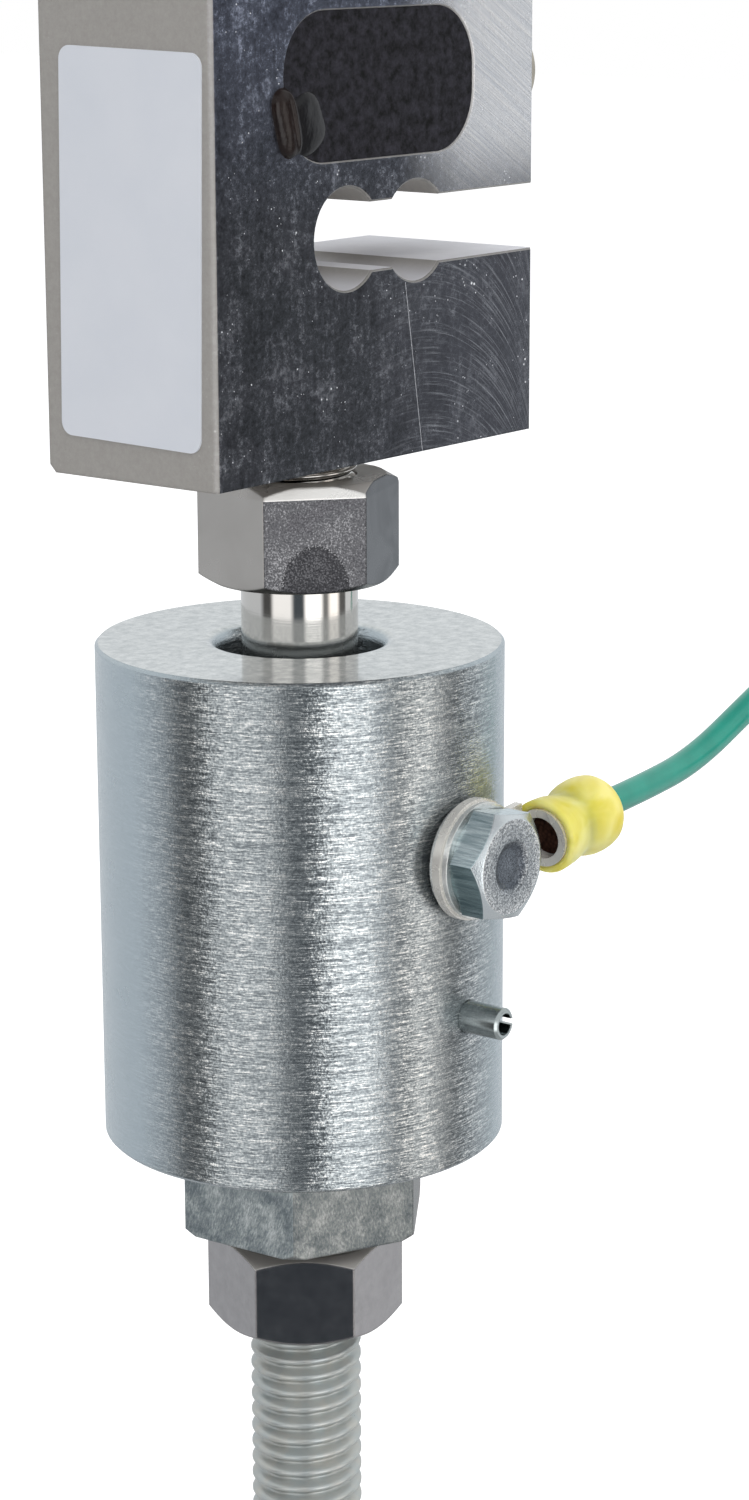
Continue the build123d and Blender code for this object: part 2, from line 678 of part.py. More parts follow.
for prefix, ring_plane in (("", near_plane), ("end_", far_plane)):
    barrel_origin = ring_plane.from_local_coords(Vector(barrel_start, 0, barrel_radius))
    barrel_plane = Plane(origin=barrel_origin, x_dir=ring_plane.z_dir, z_dir=ring_plane.x_dir)
    # Stamped tongue and rolled barrel, one piece of tinned copper
    with BuildPart() as ring_terminal:
        with BuildSketch(ring_plane) as tongue_outline:
            Circle(ring_radius)
            with Locations((barrel_start / 2, 0)):
                Rectangle(barrel_start, 2 * neck_half_width)
            Circle(ring_hole_radius, mode=Mode.SUBTRACT)
        extrude(amount=tongue_thickness)
        with BuildSketch(barrel_plane) as barrel_outline:
            Circle(barrel_radius)
        extrude(amount=barrel_length)
        with BuildSketch(barrel_plane.offset(-sleeve_setback)) as barrel_bore:
            Circle(barrel_bore_radius)
        extrude(amount=barrel_length + sleeve_setback, mode=Mode.SUBTRACT)
    ring_terminal.part.label = f"{prefix}ring_terminal"
    export_step(ring_terminal.part, f"parts/{prefix}ring_terminal.step")
    # Copper strands crimped in the barrel, and the wire's stub in the sleeve
    with BuildPart() as conductor:
        with BuildSketch(barrel_plane.offset(conductor_recess)) as strands_outline:
            Circle(barrel_bore_radius - sleeve_fit)
        extrude(amount=barrel_length - conductor_recess)
        with BuildSketch(barrel_plane.offset(barrel_length)) as stub_outline:
            Circle(wire_radius)
        extrude(amount=sleeve_length + sleeve_setback - barrel_length)
    conductor.part.label = f"{prefix}crimped_conductor"
    export_step(conductor.part, f"parts/{prefix}crimped_conductor.step")
    # Vinyl sleeve: flared mouth, crimped waist, swollen tail
    sleeve_plane = Plane(barrel_plane.origin, x_dir=barrel_plane.z_dir, z_dir=ring_plane.y_dir)
    with BuildPart() as terminal_sleeve:
        with BuildSketch(sleeve_plane) as sleeve_outline:
            mouth = sleeve_setback
            tail = sleeve_setback + sleeve_length
            with BuildLine():
                Polyline(
                    (mouth, barrel_radius + sleeve_fit),
                    (mouth, sleeve_mouth_radius),
                    (mouth + 0.15 * sleeve_length, sleeve_shoulder_radius),
                )
                Spline(
                    (mouth + 0.15 * sleeve_length, sleeve_shoulder_radius),
                    (mouth + 0.36 * sleeve_length, sleeve_waist_radius),
                    (mouth + 0.62 * sleeve_length, sleeve_swell_radius),
                    (mouth + 0.83 * sleeve_length, sleeve_rear_radius),
                    (tail, sleeve_tail_radius),
                )
                Polyline(
                    (tail, sleeve_tail_radius),
                    (tail, wire_radius + sleeve_fit),
                    (barrel_length + sleeve_fit, wire_radius + sleeve_fit),
                    (barrel_length + sleeve_fit, barrel_radius + sleeve_fit),
                    (mouth, barrel_radius + sleeve_fit),
                )
            make_face()
        revolve(axis=Axis(barrel_plane.origin, barrel_plane.z_dir))
    terminal_sleeve.part.label = f"{prefix}terminal_sleeve"
    export_step(terminal_sleeve.part, f"parts/{prefix}terminal_sleeve.step")

# Ground wire: a tube of straight runs and tangent arcs
wire_radii = []
for before, corner, after in zip(wire_points, wire_points[1:], wire_points[2:]):
    turn = (corner - before).get_angle(after - corner)
    shorter_run = min((corner - before).length, (after - corner).length)
    wire_radii.append(0.45 * shorter_run / tan(radians(turn / 2)))
with BuildPart() as ground_wire:
    with BuildLine() as wire_path:
        FilletPolyline(*wire_points, radius=wire_radii)
    with BuildSketch(Plane(origin=wire_points[0], z_dir=wire_points[1] - wire_points[0])) as wire_section:
        Circle(wire_radius)
    sweep()
ground_wire.part.label = "ground_wire"
export_step(ground_wire.part, "parts/ground_wire.step")
print("wire radii", [round(r, 1) for r in wire_radii])
wire_length = wire_path.wires()[0].length
print("wire length", round(wire_length, 2), "volume", round(ground_wire.part.volume, 2))
print("section times length", round(pi * wire_radius**2 * wire_length, 2))

# Threaded rod: its free thread is at the crests and its engaged thread at the
# pitch line; both ends are chamfered
rod_engaged_radius = rod_pitch_radius - thread_fit
free_thread_top = lower_nut_bottom - rod_runout
with BuildPart() as threaded_rod:
    with BuildSketch(Plane.XZ) as rod_outline:
        with BuildLine():
            Polyline(
                (0, rod_bottom),
                (rod_crest_radius - end_chamfer, rod_bottom),
                (rod_crest_radius, rod_bottom + end_chamfer),
                (rod_crest_radius, free_thread_top),
                (rod_engaged_radius, free_thread_top),
                (rod_engaged_radius, rod_top - end_chamfer),
                (rod_engaged_radius - end_chamfer, rod_top),
                (0, rod_top),
                close=True,
            )
        make_face()
    revolve(axis=Axis.Z)
threaded_rod.part.label = "threaded_rod"
export_step(threaded_rod.part, "parts/threaded_rod.step")
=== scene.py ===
import functools
import math

import bmesh
import bpy
from mathutils import Matrix, Vector, noise


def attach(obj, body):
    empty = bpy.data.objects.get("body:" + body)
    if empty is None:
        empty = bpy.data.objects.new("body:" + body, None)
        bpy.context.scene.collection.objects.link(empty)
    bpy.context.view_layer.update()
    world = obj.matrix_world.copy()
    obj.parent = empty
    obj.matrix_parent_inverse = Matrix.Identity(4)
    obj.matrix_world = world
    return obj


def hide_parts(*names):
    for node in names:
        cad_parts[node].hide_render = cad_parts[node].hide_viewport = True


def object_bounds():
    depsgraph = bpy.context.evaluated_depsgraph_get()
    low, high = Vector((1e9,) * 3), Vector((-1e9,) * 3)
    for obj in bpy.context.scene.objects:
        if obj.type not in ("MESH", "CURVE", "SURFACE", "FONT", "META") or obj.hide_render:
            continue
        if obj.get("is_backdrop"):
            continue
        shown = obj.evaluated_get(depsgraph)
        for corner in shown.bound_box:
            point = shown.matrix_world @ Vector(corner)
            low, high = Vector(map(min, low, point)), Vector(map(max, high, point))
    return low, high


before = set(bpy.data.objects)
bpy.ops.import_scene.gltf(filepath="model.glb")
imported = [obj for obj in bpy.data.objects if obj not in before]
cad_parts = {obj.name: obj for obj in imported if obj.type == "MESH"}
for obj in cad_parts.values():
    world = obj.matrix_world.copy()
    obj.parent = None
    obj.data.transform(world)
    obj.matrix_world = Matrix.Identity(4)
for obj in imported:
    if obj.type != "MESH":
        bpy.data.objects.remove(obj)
scene = bpy.context.scene
solid_bounds = [list(corner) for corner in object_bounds()]


# Camera: close to the piece, a little above it and to its left, looking down
# at the ground bolt's side. Nearly 83 mm of lens on a 36 mm tall frame.
camera_data = bpy.data.cameras.new("camera")
camera_data.sensor_fit = "VERTICAL"
camera_data.sensor_height = 36.0
camera_data.lens = 82.865
camera_data.clip_start = 0.01
camera_data.clip_end = 20.0
camera = bpy.data.objects.new("camera", camera_data)
scene.collection.objects.link(camera)
forward = Vector((0.76273, 0.59904, -0.24403)).normalized()
right = Vector((0.61700, -0.78700, -0.00322))
right = (right - forward * right.dot(forward)).normalized()
camera.matrix_world = Matrix.Translation((-0.28288, -0.23241, -0.01894)) @ Matrix(
    (right, right.cross(forward), -forward)
).transposed().to_4x4()
scene.camera = camera
scene.view_settings.view_transform = "Standard"


# Ground wire: stranded copper in green vinyl, 3.1 mm over the insulation, about
# 210 mm long. It leaves the sleeve, bows upwards, and hangs free at its far end.
def srgb(code):
    """Linear colour, with alpha, from an sRGB hex code."""
    parts = [int(code[i : i + 2], 16) / 255 for i in (1, 3, 5)]
    return tuple(p / 12.92 if p <= 0.04045 else ((p + 0.055) / 1.055) ** 2.4 for p in parts) + (1.0,)


def set_inputs(node, inputs):
    """Inputs set to a value, a hex colour or a range, or linked to a socket or a node's first output."""
    for name, value in inputs.items():
        if name in ("From", "To"):
            set_inputs(node, {name + " Min": value[0], name + " Max": value[1]})
            continue
        if isinstance(value, bpy.types.Node):
            value = next(output for output in value.outputs if output.enabled)
        if isinstance(value, bpy.types.NodeSocket):
            node.id_data.links.new(value, node.inputs[name])
        else:
            node.inputs[name].default_value = srgb(value) if isinstance(value, str) else value


def add_node(tree, kind, inputs=None, stops=(), **settings):
    """A node with its settings and inputs, and for a colour ramp its stops from first to last."""
    made = tree.nodes.new(kind if "Node" in kind else "ShaderNode" + kind)
    if kind == "Mix":
        settings.setdefault("data_type", "RGBA")
    for name, value in settings.items():
        setattr(made, name, value)
    if stops:
        elements = made.color_ramp.elements
        stops = [(place, srgb(colour) if isinstance(colour, str) else colour) for place, colour in stops]
        for index, (place, colour) in ((0, stops[0]), (1, stops[-1])):
            elements[index].position = place
            elements[index].color = colour
        for place, colour in stops[1:-1]:
            elements.new(place).color = colour
    set_inputs(made, inputs or {})
    return made


def start_finish(name, colour, metallic, roughness):
    """A named material, how nodes are added to it, its shader, and the piece's own millimetres."""
    material = bpy.data.materials.new(name)
    material.use_nodes = True
    add = functools.partial(add_node, material.node_tree)
    shader = material.node_tree.nodes["Principled BSDF"]
    set_inputs(shader, {"Base Color": colour, "Metallic": metallic, "Roughness": roughness})
    place = add("TexCoord")
    scaled = add("Mapping", {"Vector": place.outputs["Object"], "Scale": (1000, 1000, 1000)})
    return material, add, shader, scaled.outputs["Vector"]


wire_route = [
    (0.0200, -0.026125, -0.11737),
    (0.0278, -0.026125, -0.11700),
    (0.0385, -0.026125, -0.11590),
    (0.0500, -0.026225, -0.11160),
    (0.0640, -0.026825, -0.10600),
    (0.0808, -0.027825, -0.10790),
    (0.0935, -0.029025, -0.11580),
    (0.1010, -0.030025, -0.12880),
    (0.1048, -0.030825, -0.15050),
    (0.1054, -0.031425, -0.18250),
    (0.1045, -0.031025, -0.21650),
    (0.1045, -0.031025, -0.24730),
]
wire_curve = bpy.data.curves.new("ground_wire_insulation", "CURVE")
wire_curve.dimensions = "3D"
wire_curve.bevel_depth = 0.00155
wire_curve.bevel_resolution = 8
wire_curve.resolution_u = 24
wire_curve.use_fill_caps = True
wire_line = wire_curve.splines.new("NURBS")
wire_line.points.add(len(wire_route) - 1)
for point, place in zip(wire_line.points, wire_route):
    point.co = (*place, 1.0)
wire_line.order_u = 3
wire_line.use_endpoint_u = True
wire = bpy.data.objects.new("ground_wire_insulation", wire_curve)
scene.collection.objects.link(wire)

# Extruded vinyl: a soft gloss, with a faint orange peel and slight blotches
green_vinyl, add, shader, mm = start_finish("green vinyl insulation", "#128c78", 0.0, 0.45)
set_inputs(shader, {"Specular IOR Level": 0.3, "Coat Weight": 0.7, "Coat Roughness": 0.05})
blotches = add("TexNoise", {"Vector": mm, "Scale": 0.35, "Detail": 3.0})
set_inputs(shader, {"Base Color": add("Mix", {0: blotches, 6: "#0c7a69", 7: "#17937f"})})
peel = add("TexNoise", {"Vector": mm, "Scale": 2.2})
set_inputs(shader, {"Normal": add("Bump", {"Strength": 0.25, "Distance": 0.00004, "Height": peel})})
wire_curve.materials.append(green_vinyl)
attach(wire, "coupling")
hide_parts("ground_wire")


# Terminal sleeves: vinyl shrunk and crimped over each barrel. The mouth is
# flared, the crimping tool has flattened the waist, and the tail swells and
# closes on the wire.
def new_piece(name, mesh, material):
    """An object at the origin with its place in its mesh."""
    piece = bpy.data.objects.new(name, mesh)
    scene.collection.objects.link(piece)
    mesh.materials.clear()
    mesh.materials.append(material)
    for face in mesh.polygons:
        face.use_smooth = True
    return piece


# Translucent vinyl: yellow, milky, darker where it is thick
yellow_vinyl, add, shader, mm = start_finish("yellow vinyl sleeve", "#e2d53c", 0.0, 0.38)
set_inputs(shader, {
    "Subsurface Weight": 0.6,
    "Subsurface Radius": (1.0, 0.8, 0.25),
    "Subsurface Scale": 0.003,
    "Coat Weight": 0.2,
    "Coat Roughness": 0.2,
})
milky = add("TexNoise", {"Vector": mm, "Scale": 0.28, "Distortion": 0.6})
milk_ramp = add("ValToRGB", {"Fac": milky}, stops=[(0.32, "#d6c635"), (0.68, "#ebdf84")])
set_inputs(shader, {"Base Color": milk_ramp})
dimples = add("TexNoise", {"Vector": mm, "Scale": 0.9})
set_inputs(shader, {"Normal": add("Bump", {"Strength": 0.4, "Distance": 0.00012, "Height": dimples})})

# Stations along a sleeve, in millimetres from the barrel's front: distance,
# radius, and how far the crimp has squeezed it. The last one joins the first.
sleeve_stations = [
    (8.05, 3.26, 0.0), (0.30, 3.26, 0.0), (0.30, 3.70, 0.0),
    (0.38, 3.98, 0.0), (0.62, 4.10, 0.0), (1.5, 4.07, 0.0),
    (2.5, 4.00, 0.01), (3.4, 3.86, 0.03), (4.1, 3.72, 0.05),
    (4.7, 3.62, 0.06), (5.2, 3.66, 0.06), (5.8, 3.90, 0.04),
    (6.4, 4.14, 0.02), (7.2, 4.28, 0.01), (8.2, 4.32, 0.0),
    (9.1, 4.26, 0.0), (9.8, 4.10, 0.0), (10.3, 3.80, 0.0),
    (10.7, 3.34, 0.0), (10.9, 2.70, 0.0), (10.9, 1.60, 0.0),
    (8.05, 1.60, 0.0),
]
sleeve_segments = 64
near_axis = Vector((math.cos(math.radians(5.5)), 0, math.sin(math.radians(5.5))))
bolt_level = -119.3
barrel_front = Vector((0, -26.125, bolt_level)) + near_axis * 8.6
far_front = Vector((104.5, -31.025, -258.8))
for name, node_name, front, along in (
    ("sleeve_at_the_bolt", "terminal_sleeve", barrel_front, near_axis),
    ("sleeve_at_the_far_end", "end_terminal_sleeve", far_front, Vector((0, 0, 1))),
):
    outwards = Vector((0, -1, 0))
    across = along.cross(outwards)
    mesh = bpy.data.meshes.new(name)
    shell = bmesh.new()
    rings = []
    for distance, radius, squeeze in sleeve_stations:
        ring = []
        for step in range(sleeve_segments):
            turn = 2 * math.pi * step / sleeve_segments
            oval = 1 - squeeze * math.cos(2 * turn)
            side = (outwards * math.cos(turn) * oval + across * math.sin(turn) * (2 - oval)) * radius
            ring.append(shell.verts.new((front + along * distance + side) / 1000))
        rings.append(ring)
    for before, after in zip(rings, rings[1:] + rings[:1]):
        for step in range(sleeve_segments):
            following = (step + 1) % sleeve_segments
            shell.faces.new((before[step], before[following], after[following], after[step]))
    bmesh.ops.recalc_face_normals(shell, faces=shell.faces)
    shell.to_mesh(mesh)
    shell.free()
    sleeve = new_piece(name, mesh, yellow_vinyl)
    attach(sleeve, "coupling")
    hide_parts(node_name)


# Ring terminals: stamped from copper sheet, rolled into a barrel and tinned.
# The copper strands of the wire fill the barrels.
def dress(material, *node_names):
    """These CAD pieces wear this material."""
    for node_name in node_names:
        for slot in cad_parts[node_name].material_slots:
            slot.material = material


# Hot dipped tin: pale and bright, hazy where it ran as it cooled, over waves of 1.4 mm
tin, add, shader, mm = start_finish("tinned copper", "#dedbd5", 0.55, 0.24)
flow = add("TexNoise", {"Vector": mm, "Scale": 0.7, "Detail": 4.0, "Distortion": 0.8})
set_inputs(shader, {
    "Normal": add("Bump", {"Strength": 0.6, "Distance": 0.00008, "Height": flow}),
    "Roughness": add("MapRange", {"Value": flow, "To": (0.16, 0.36)}),
})
dress(tin, "ring_terminal", "end_ring_terminal")

# Bare strands 0.4 mm thick, browned, with painted shade in the gaps between them
copper, add, shader, mm = start_finish("bare copper strands", "#6e4532", 1.0, 0.4)
strands = add("TexVoronoi", {"Vector": mm, "Scale": 2.4})
set_inputs(shader, {"Base Color": add("Mix", {0: strands, 6: "#4a3129", 7: "#140c0a"})})
dress(copper, "crimped_conductor", "end_crimped_conductor")


# Load cell block: one bar of tool steel, milled to an S and nickel plated. The
# large faces are fly cut and reflect like a dull mirror, and the narrow sides
# are left matt by the cutter.
def round_and_grain(add, shader, rounding, height, depth):
    """Edges that catch the light, over this many millimetres, and a fine relief."""
    rounded = add("Bevel", {"Radius": rounding / 1000})
    relief = {"Distance": depth / 1000, "Height": height, "Normal": rounded}
    set_inputs(shader, {"Normal": add("Bump", relief)})


# Nickel on a cut face is near black where it mirrors a flag and pale where it mirrors a panel.
# Here the large faces are also painted near black, a painted dark reflection, under cloudy mottle, pin-pricks
# and cutter marks
nickel, add, shader, mm = start_finish("nickel plated milled steel", "#8b8d93", 1.0, 0.25)
normal = add("SeparateXYZ", {"Vector": add("TexCoord").outputs["Normal"]})
spot = add("SeparateXYZ", {"Vector": mm})
broadside = add("Math", {0: normal.outputs["Y"]}, operation="ABSOLUTE")
large_face = add("MapRange", {"Value": broadside, "From": (0.6, 0.9)})
# Mottle from 0.6 mm down to 0.1 mm, clouds of 6 mm, and upright streaks
mottle = add("TexNoise", {"Vector": mm, "Scale": 1.7, "Detail": 5.0, "Roughness": 0.8})
clouds = add("TexNoise", {"Vector": mm, "Scale": 0.17, "Detail": 3.0, "Roughness": 0.6})
streak_size = add("Mapping", {"Vector": mm, "Scale": (1.1, 1.1, 14.0)}, vector_type="TEXTURE")
streaks = add("TexNoise", {"Vector": streak_size, "Scale": 1.0, "Detail": 4.0})
patchy = add("Math", {0: clouds, 1: 0.45, 2: mottle}, operation="MULTIPLY_ADD")
streaky = add("Math", {0: streaks, 1: 0.3, 2: patchy}, operation="MULTIPLY_ADD")
plating = add("MapRange", {"Value": streaky, "From": (0.66, 1.18)})
# Painted dark reflection: the mottle's colours are kept dark, standing in for the dark flags the face mirrors
mottle_and_painted_dark_reflection = add("ValToRGB", {"Fac": plating}, stops=[(0.0, "#2e2f33"), (0.5, "#54565c"), (1.0, "#a4a6ad")])
# The face is bluer and brighter towards the top
eased = {"interpolation_type": "SMOOTHSTEP"}
bluer_towards_top = add("MapRange", {"Value": spot.outputs["Z"], "From": (-56.0, -30.0)}, **eased)
blue_shade = add("Mix", {0: bluer_towards_top, 6: "#eeeeee", 7: (1.35, 1.42, 1.62, 1.0)})
blued = add("Mix", {0: 1.0, 6: mottle_and_painted_dark_reflection, 7: blue_shade}, blend_type="MULTIPLY")
# Pin-pricks of 0.1 mm in the plating, in loose groups
pricks = add("TexVoronoi", {"Vector": mm, "Scale": 1.3})
prick_size = add("Math", {0: clouds, 1: 0.75, 2: -0.30}, operation="MULTIPLY_ADD")
prick_edge = add("Math", {0: prick_size, 1: pricks}, operation="SUBTRACT")
prick = add("MapRange", {"Value": prick_edge, "From": (0.0, 0.09)})
# Above the slot and right of the pocket the face is brushed slantwise and paler
brushed_right = add("MapRange", {"Value": spot.outputs["X"], "From": (2.0, 17.0)}, **eased)
brushed_high = add("MapRange", {"Value": spot.outputs["Z"], "From": (-56.0, -43.0)}, **eased)
brushed_here = add("Math", {0: brushed_right, 1: brushed_high}, operation="MULTIPLY")
brush_size = add(
    "Mapping",
    {"Vector": mm, "Rotation": (0.0, math.radians(30), 0.0), "Scale": (9.0, 1.0, 0.15)},
    vector_type="TEXTURE",
)
brushing = add("TexNoise", {"Vector": brush_size, "Scale": 1.0, "Detail": 3.0})
brush_line = add("MapRange", {"Value": brushing, "From": (0.35, 0.68)})
brushed_tint = add("Mix", {0: brush_line, 6: "#dadce1", 7: "#f0efef"})
# Fly cutter's arcs below the slot: one radius, stepped down the face by 0.3 mm
cutter_x, cutter_radius = 6.0, 21.0
aside = add("Math", {0: spot.outputs["X"], 1: cutter_x}, operation="SUBTRACT")
aside_squared = add("Math", {0: aside, 1: 2.0}, operation="POWER")
under_root = add("Math", {0: cutter_radius**2, 1: aside_squared}, operation="SUBTRACT")
rise = add("Math", {0: under_root}, operation="SQRT")
arc_level = add("Math", {0: spot.outputs["Z"], 1: rise}, operation="SUBTRACT")
arc_place = add("CombineXYZ", {"X": arc_level, "Y": aside, "Z": normal.outputs["Y"]})
arc_size = add("Mapping", {"Vector": arc_place, "Scale": (0.3, 9.0, 1.0)}, vector_type="TEXTURE")
arcs = add("TexNoise", {"Vector": arc_size, "Scale": 1.0, "Detail": 3.0, "Roughness": 0.75})
arc_line = add("MapRange", {"Value": arcs, "From": (0.52, 0.78)})
arcs_right = add("MapRange", {"Value": spot.outputs["X"], "From": (-6.0, 16.0)}, **eased)
arcs_low = add("MapRange", {"Value": spot.outputs["Z"], "From": (-55.0, -59.0)})
arcs_here = add("Math", {0: arcs_right, 1: arcs_low}, operation="MULTIPLY")
arc_mark = add("Math", {0: arc_line, 1: arcs_here}, operation="MULTIPLY")
# One long thin scratch below the slot
scratch_line = add("VectorMath", {0: mm, 1: (0.987, 0.0, 0.160)}, operation="DOT_PRODUCT")
scratch_near = add("Math", {0: scratch_line, 1: -5.70, 2: 0.05}, operation="COMPARE")
scratch_low = add("Math", {0: spot.outputs["Z"], 1: -59.6}, operation="LESS_THAN")
scratch = add("Math", {0: scratch_near, 1: scratch_low}, operation="MULTIPLY")
scratch_faint = add("Math", {0: scratch, 1: mottle}, operation="MULTIPLY")
fine_marks = add("Math", {0: prick, 1: scratch_faint}, operation="MAXIMUM")
cut_face = add("Math", {0: arcs_here, 1: 0.4}, operation="MULTIPLY")
low_tint = add("Mix", {0: cut_face, 6: blued, 7: "#5d5f68"})
arc_tint = add("Mix", {0: arc_mark, 6: low_tint, 7: "#a6a8ae"})
high_tint = add("Mix", {0: brushed_here, 6: arc_tint, 7: brushed_tint})
face_tint = add("Mix", {0: fine_marks, 6: high_tint, 7: "#e4e6ea"})
# The upright edges are painted bright where the faces meet, a painted highlight for their rounding
off_centre = add("Math", {0: spot.outputs["X"]}, operation="ABSOLUTE")
near_edge = add("MapRange", {"Value": off_centre, "From": (26.3, 26.45)})
painted_edge_highlight = add("Math", {0: near_edge, 1: large_face}, operation="MULTIPLY")
painted_edge_highlight_tint = add("Mix", {0: painted_edge_highlight, 6: face_tint, 7: "#dcd9d6"})
wall_tint = add("Mix", {0: mottle, 6: "#9a9691", 7: "#b7b4b0"})
# Faces that look up, such as the slot's ledges, are painted paler: painted light
ledge_painted_light_tint = add("Mix", {0: clouds, 6: "#d6d6dc", 7: "#f0f0f4"})
ledge = add("MapRange", {"Value": normal.outputs["Z"], "From": (0.7, 0.95)})
side_tint = add("Mix", {0: ledge, 6: wall_tint, 7: ledge_painted_light_tint})
set_inputs(shader, {"Base Color": add("Mix", {0: large_face, 6: side_tint, 7: painted_edge_highlight_tint})})
# The sides scatter light as a satin paint would, and the faces mirror it
plain_metal = add("MapRange", {"Value": large_face, "To": (0.6, 1.0)})
bright_marks = add("Math", {0: fine_marks, 1: painted_edge_highlight}, operation="MAXIMUM")
scattering = add(
    "Math", {0: bright_marks, 1: -0.7, 2: plain_metal}, operation="MULTIPLY_ADD", use_clamp=True
)
set_inputs(shader, {"Metallic": scattering})
dull = add("MapRange", {"Value": large_face, "To": (0.55, 0.2)})
set_inputs(shader, {"Roughness": add("Math", {0: clouds, 1: 0.12, 2: dull}, operation="MULTIPLY_ADD")})
cut_relief = add("Math", {0: arc_mark, 1: 0.5, 2: mottle}, operation="MULTIPLY_ADD")
brush_relief = add("Math", {0: brushing, 1: brushed_here, 2: cut_relief}, operation="MULTIPLY_ADD")
round_and_grain(add, shader, 0.5, brush_relief, 0.02)
dress(nickel, "load_cell_body")


# Potting: black rubbery compound poured into both gauge pockets, with the
# gauges and their boards under it. It sets a little below the rim.
potting, add, shader, mm = start_finish("black potting compound", "#19181d", 0.0, 0.4)
set_inputs(shader, {"Specular IOR Level": 0.1})
# Cloudy black rubber, in soft patches of 1.2 mm with finer ones inside them
mottle = add("TexNoise", {"Vector": mm, "Scale": 0.8, "Detail": 6.0, "Roughness": 0.75})
skin = add("MapRange", {"Value": mottle, "From": (0.38, 0.66)})
set_inputs(shader, {
    "Base Color": add("Mix", {0: skin, 6: "#020203", 7: "#2b2a31"}),
    "Roughness": add("MapRange", {"Value": mottle, "To": (0.6, 0.35)}),
})
round_and_grain(add, shader, 0.2, mottle, 0.06)
dress(potting, "front_potting", "rear_potting")

# Amber film with a pale grid of foil, and a green board with bare pads
gauge_film, add, shader, mm = start_finish("amber polyimide film", "#b4761f", 0.0, 0.3)
grid = add("TexWave", {"Vector": mm, "Scale": 0.8}, bands_direction="DIAGONAL")
set_inputs(shader, {"Base Color": add("Mix", {0: grid.outputs["Fac"], 6: "#b4761f", 7: "#d8d2c4"})})
dress(gauge_film, "strain_gauges")

board_glass, add, shader, mm = start_finish("glass epoxy board", "#2f6b35", 0.0, 0.45)
pads = add("TexVoronoi", {"Vector": mm, "Scale": 0.5}, distance="CHEBYCHEV")
pad_edge = add("Math", {0: pads, 1: 0.3}, operation="LESS_THAN")
set_inputs(shader, {"Base Color": add("Mix", {0: pad_edge, 6: "#2f6b35", 7: "#c8c3b8"})})
dress(board_glass, "terminal_boards")


# Sealant bead: a dab of dark glue over the pocket's left end, a tall ridge on
# the steel and a smooth smear on the potting, left as it set.
sealant, add, shader, mm = start_finish("dark brown sealant", "#2a1c18", 0.0, 0.22)
set_inputs(shader, {"Specular IOR Level": 0.25})
# Dark and wet-looking, brown where it lies on the steel and black on the potting
sealant_cloud = add("TexNoise", {"Vector": mm, "Scale": 0.45, "Detail": 5.0})
sealant_tint = add("Mix", {0: sealant_cloud, 6: "#080505", 7: "#221512"})
sealant_spot = add("SeparateXYZ", {"Vector": mm})
over_potting = add("MapRange", {"Value": sealant_spot.outputs["X"], "From": (-15.2, -13.6)})
set_inputs(shader, {"Base Color": add("Mix", {0: over_potting, 6: sealant_tint, 7: "#0d0d10"})})
sealant_grain = add("TexNoise", {"Vector": mm, "Scale": 1.4})
round_and_grain(add, shader, 0.1, sealant_grain, 0.05)
# Lobes: centre across and up, half length, half width, lean, height over the face
sealant_lobes = [
    (-15.5, -42.2, 3.7, 1.85, 16.0, 0.9),
    (-14.75, -42.1, 3.5, 0.7, 14.0, 1.1),
    (-12.2, -42.5, 3.2, 3.0, 24.0, 0.35),
]
mesh = bpy.data.meshes.new("sealant_dab")
dab = bmesh.new()
rows, columns = 92, 100
grid_points = []
low_x, high_x, low_z, high_z = -18.4, -8.4, -46.9, -37.7
# Heights over the block's face, which is 11.5 mm in front of its middle
half_depth, buried, in_sight, foot = 11.5, -0.6, -0.55, -0.3
for row in range(rows + 1):
    line = []
    for column in range(columns + 1):
        x = low_x + (high_x - low_x) * column / columns
        z = low_z + (high_z - low_z) * row / rows
        height = buried
        for centre_x, centre_z, half_length, half_width, lean, crown in sealant_lobes:
            lean = math.radians(lean)
            along = -(x - centre_x) * math.sin(lean) + (z - centre_z) * math.cos(lean)
            across = (x - centre_x) * math.cos(lean) + (z - centre_z) * math.sin(lean)
            inside = 1 - (along / half_length) ** 4 - (across / half_width) ** 2
            if inside > 0:
                height = max(height, foot + (crown - foot) * min(1.0, inside) ** 0.5)
        height += 0.05 * noise.noise(Vector((x, z, 3.1)) * 0.6) if height > foot else 0
        line.append(dab.verts.new((x / 1000, (-half_depth - height) / 1000, z / 1000)))
    grid_points.append(line)
for row in range(rows):
    for column in range(columns):
        low, high = grid_points[row], grid_points[row + 1]
        corners = (low[column], low[column + 1], high[column + 1], high[column])
        if max(-c.co.y * 1000 - half_depth for c in corners) > in_sight:
            dab.faces.new(corners)
bmesh.ops.delete(dab, geom=[v for v in dab.verts if not v.link_faces], context="VERTS")
for _ in range(12):
    bmesh.ops.smooth_vert(dab, verts=dab.verts, factor=0.5, use_axis_y=True)
skirt = bmesh.ops.extrude_edge_only(dab, edges=[e for e in dab.edges if e.is_boundary])["geom"]
for point in skirt:
    if isinstance(point, bmesh.types.BMVert):
        point.co.y = -0.0108
bmesh.ops.contextual_create(dab, geom=[g for g in skirt if isinstance(g, bmesh.types.BMEdge)])
bmesh.ops.recalc_face_normals(dab, faces=dab.faces)
dab.to_mesh(mesh)
dab.free()
sealant_dab = new_piece("sealant_dab", mesh, sealant)
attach(sealant_dab, "load_cell")
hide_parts("sealant_bead")


# Label: a blank foil sticker on the left side, 18.7 by 39.1 mm. It is matt,
# smooth and even, with the faintest waviness.
foil, add, shader, mm = start_finish("blank white label", "#d3d7de", 0.0, 0.5)
fibres = add("TexNoise", {"Vector": mm, "Scale": 0.12, "Detail": 3.0})
set_inputs(shader, {"Base Color": add("Mix", {0: fibres, 6: "#cdd2da", 7: "#d9dce2"})})
foil_grain = add("TexNoise", {"Vector": mm, "Scale": 3.0})
set_inputs(shader, {"Normal": add("Bump", {"Strength": 0.15, "Distance": 0.00002, "Height": foil_grain})})
dress(foil, "rating_label")


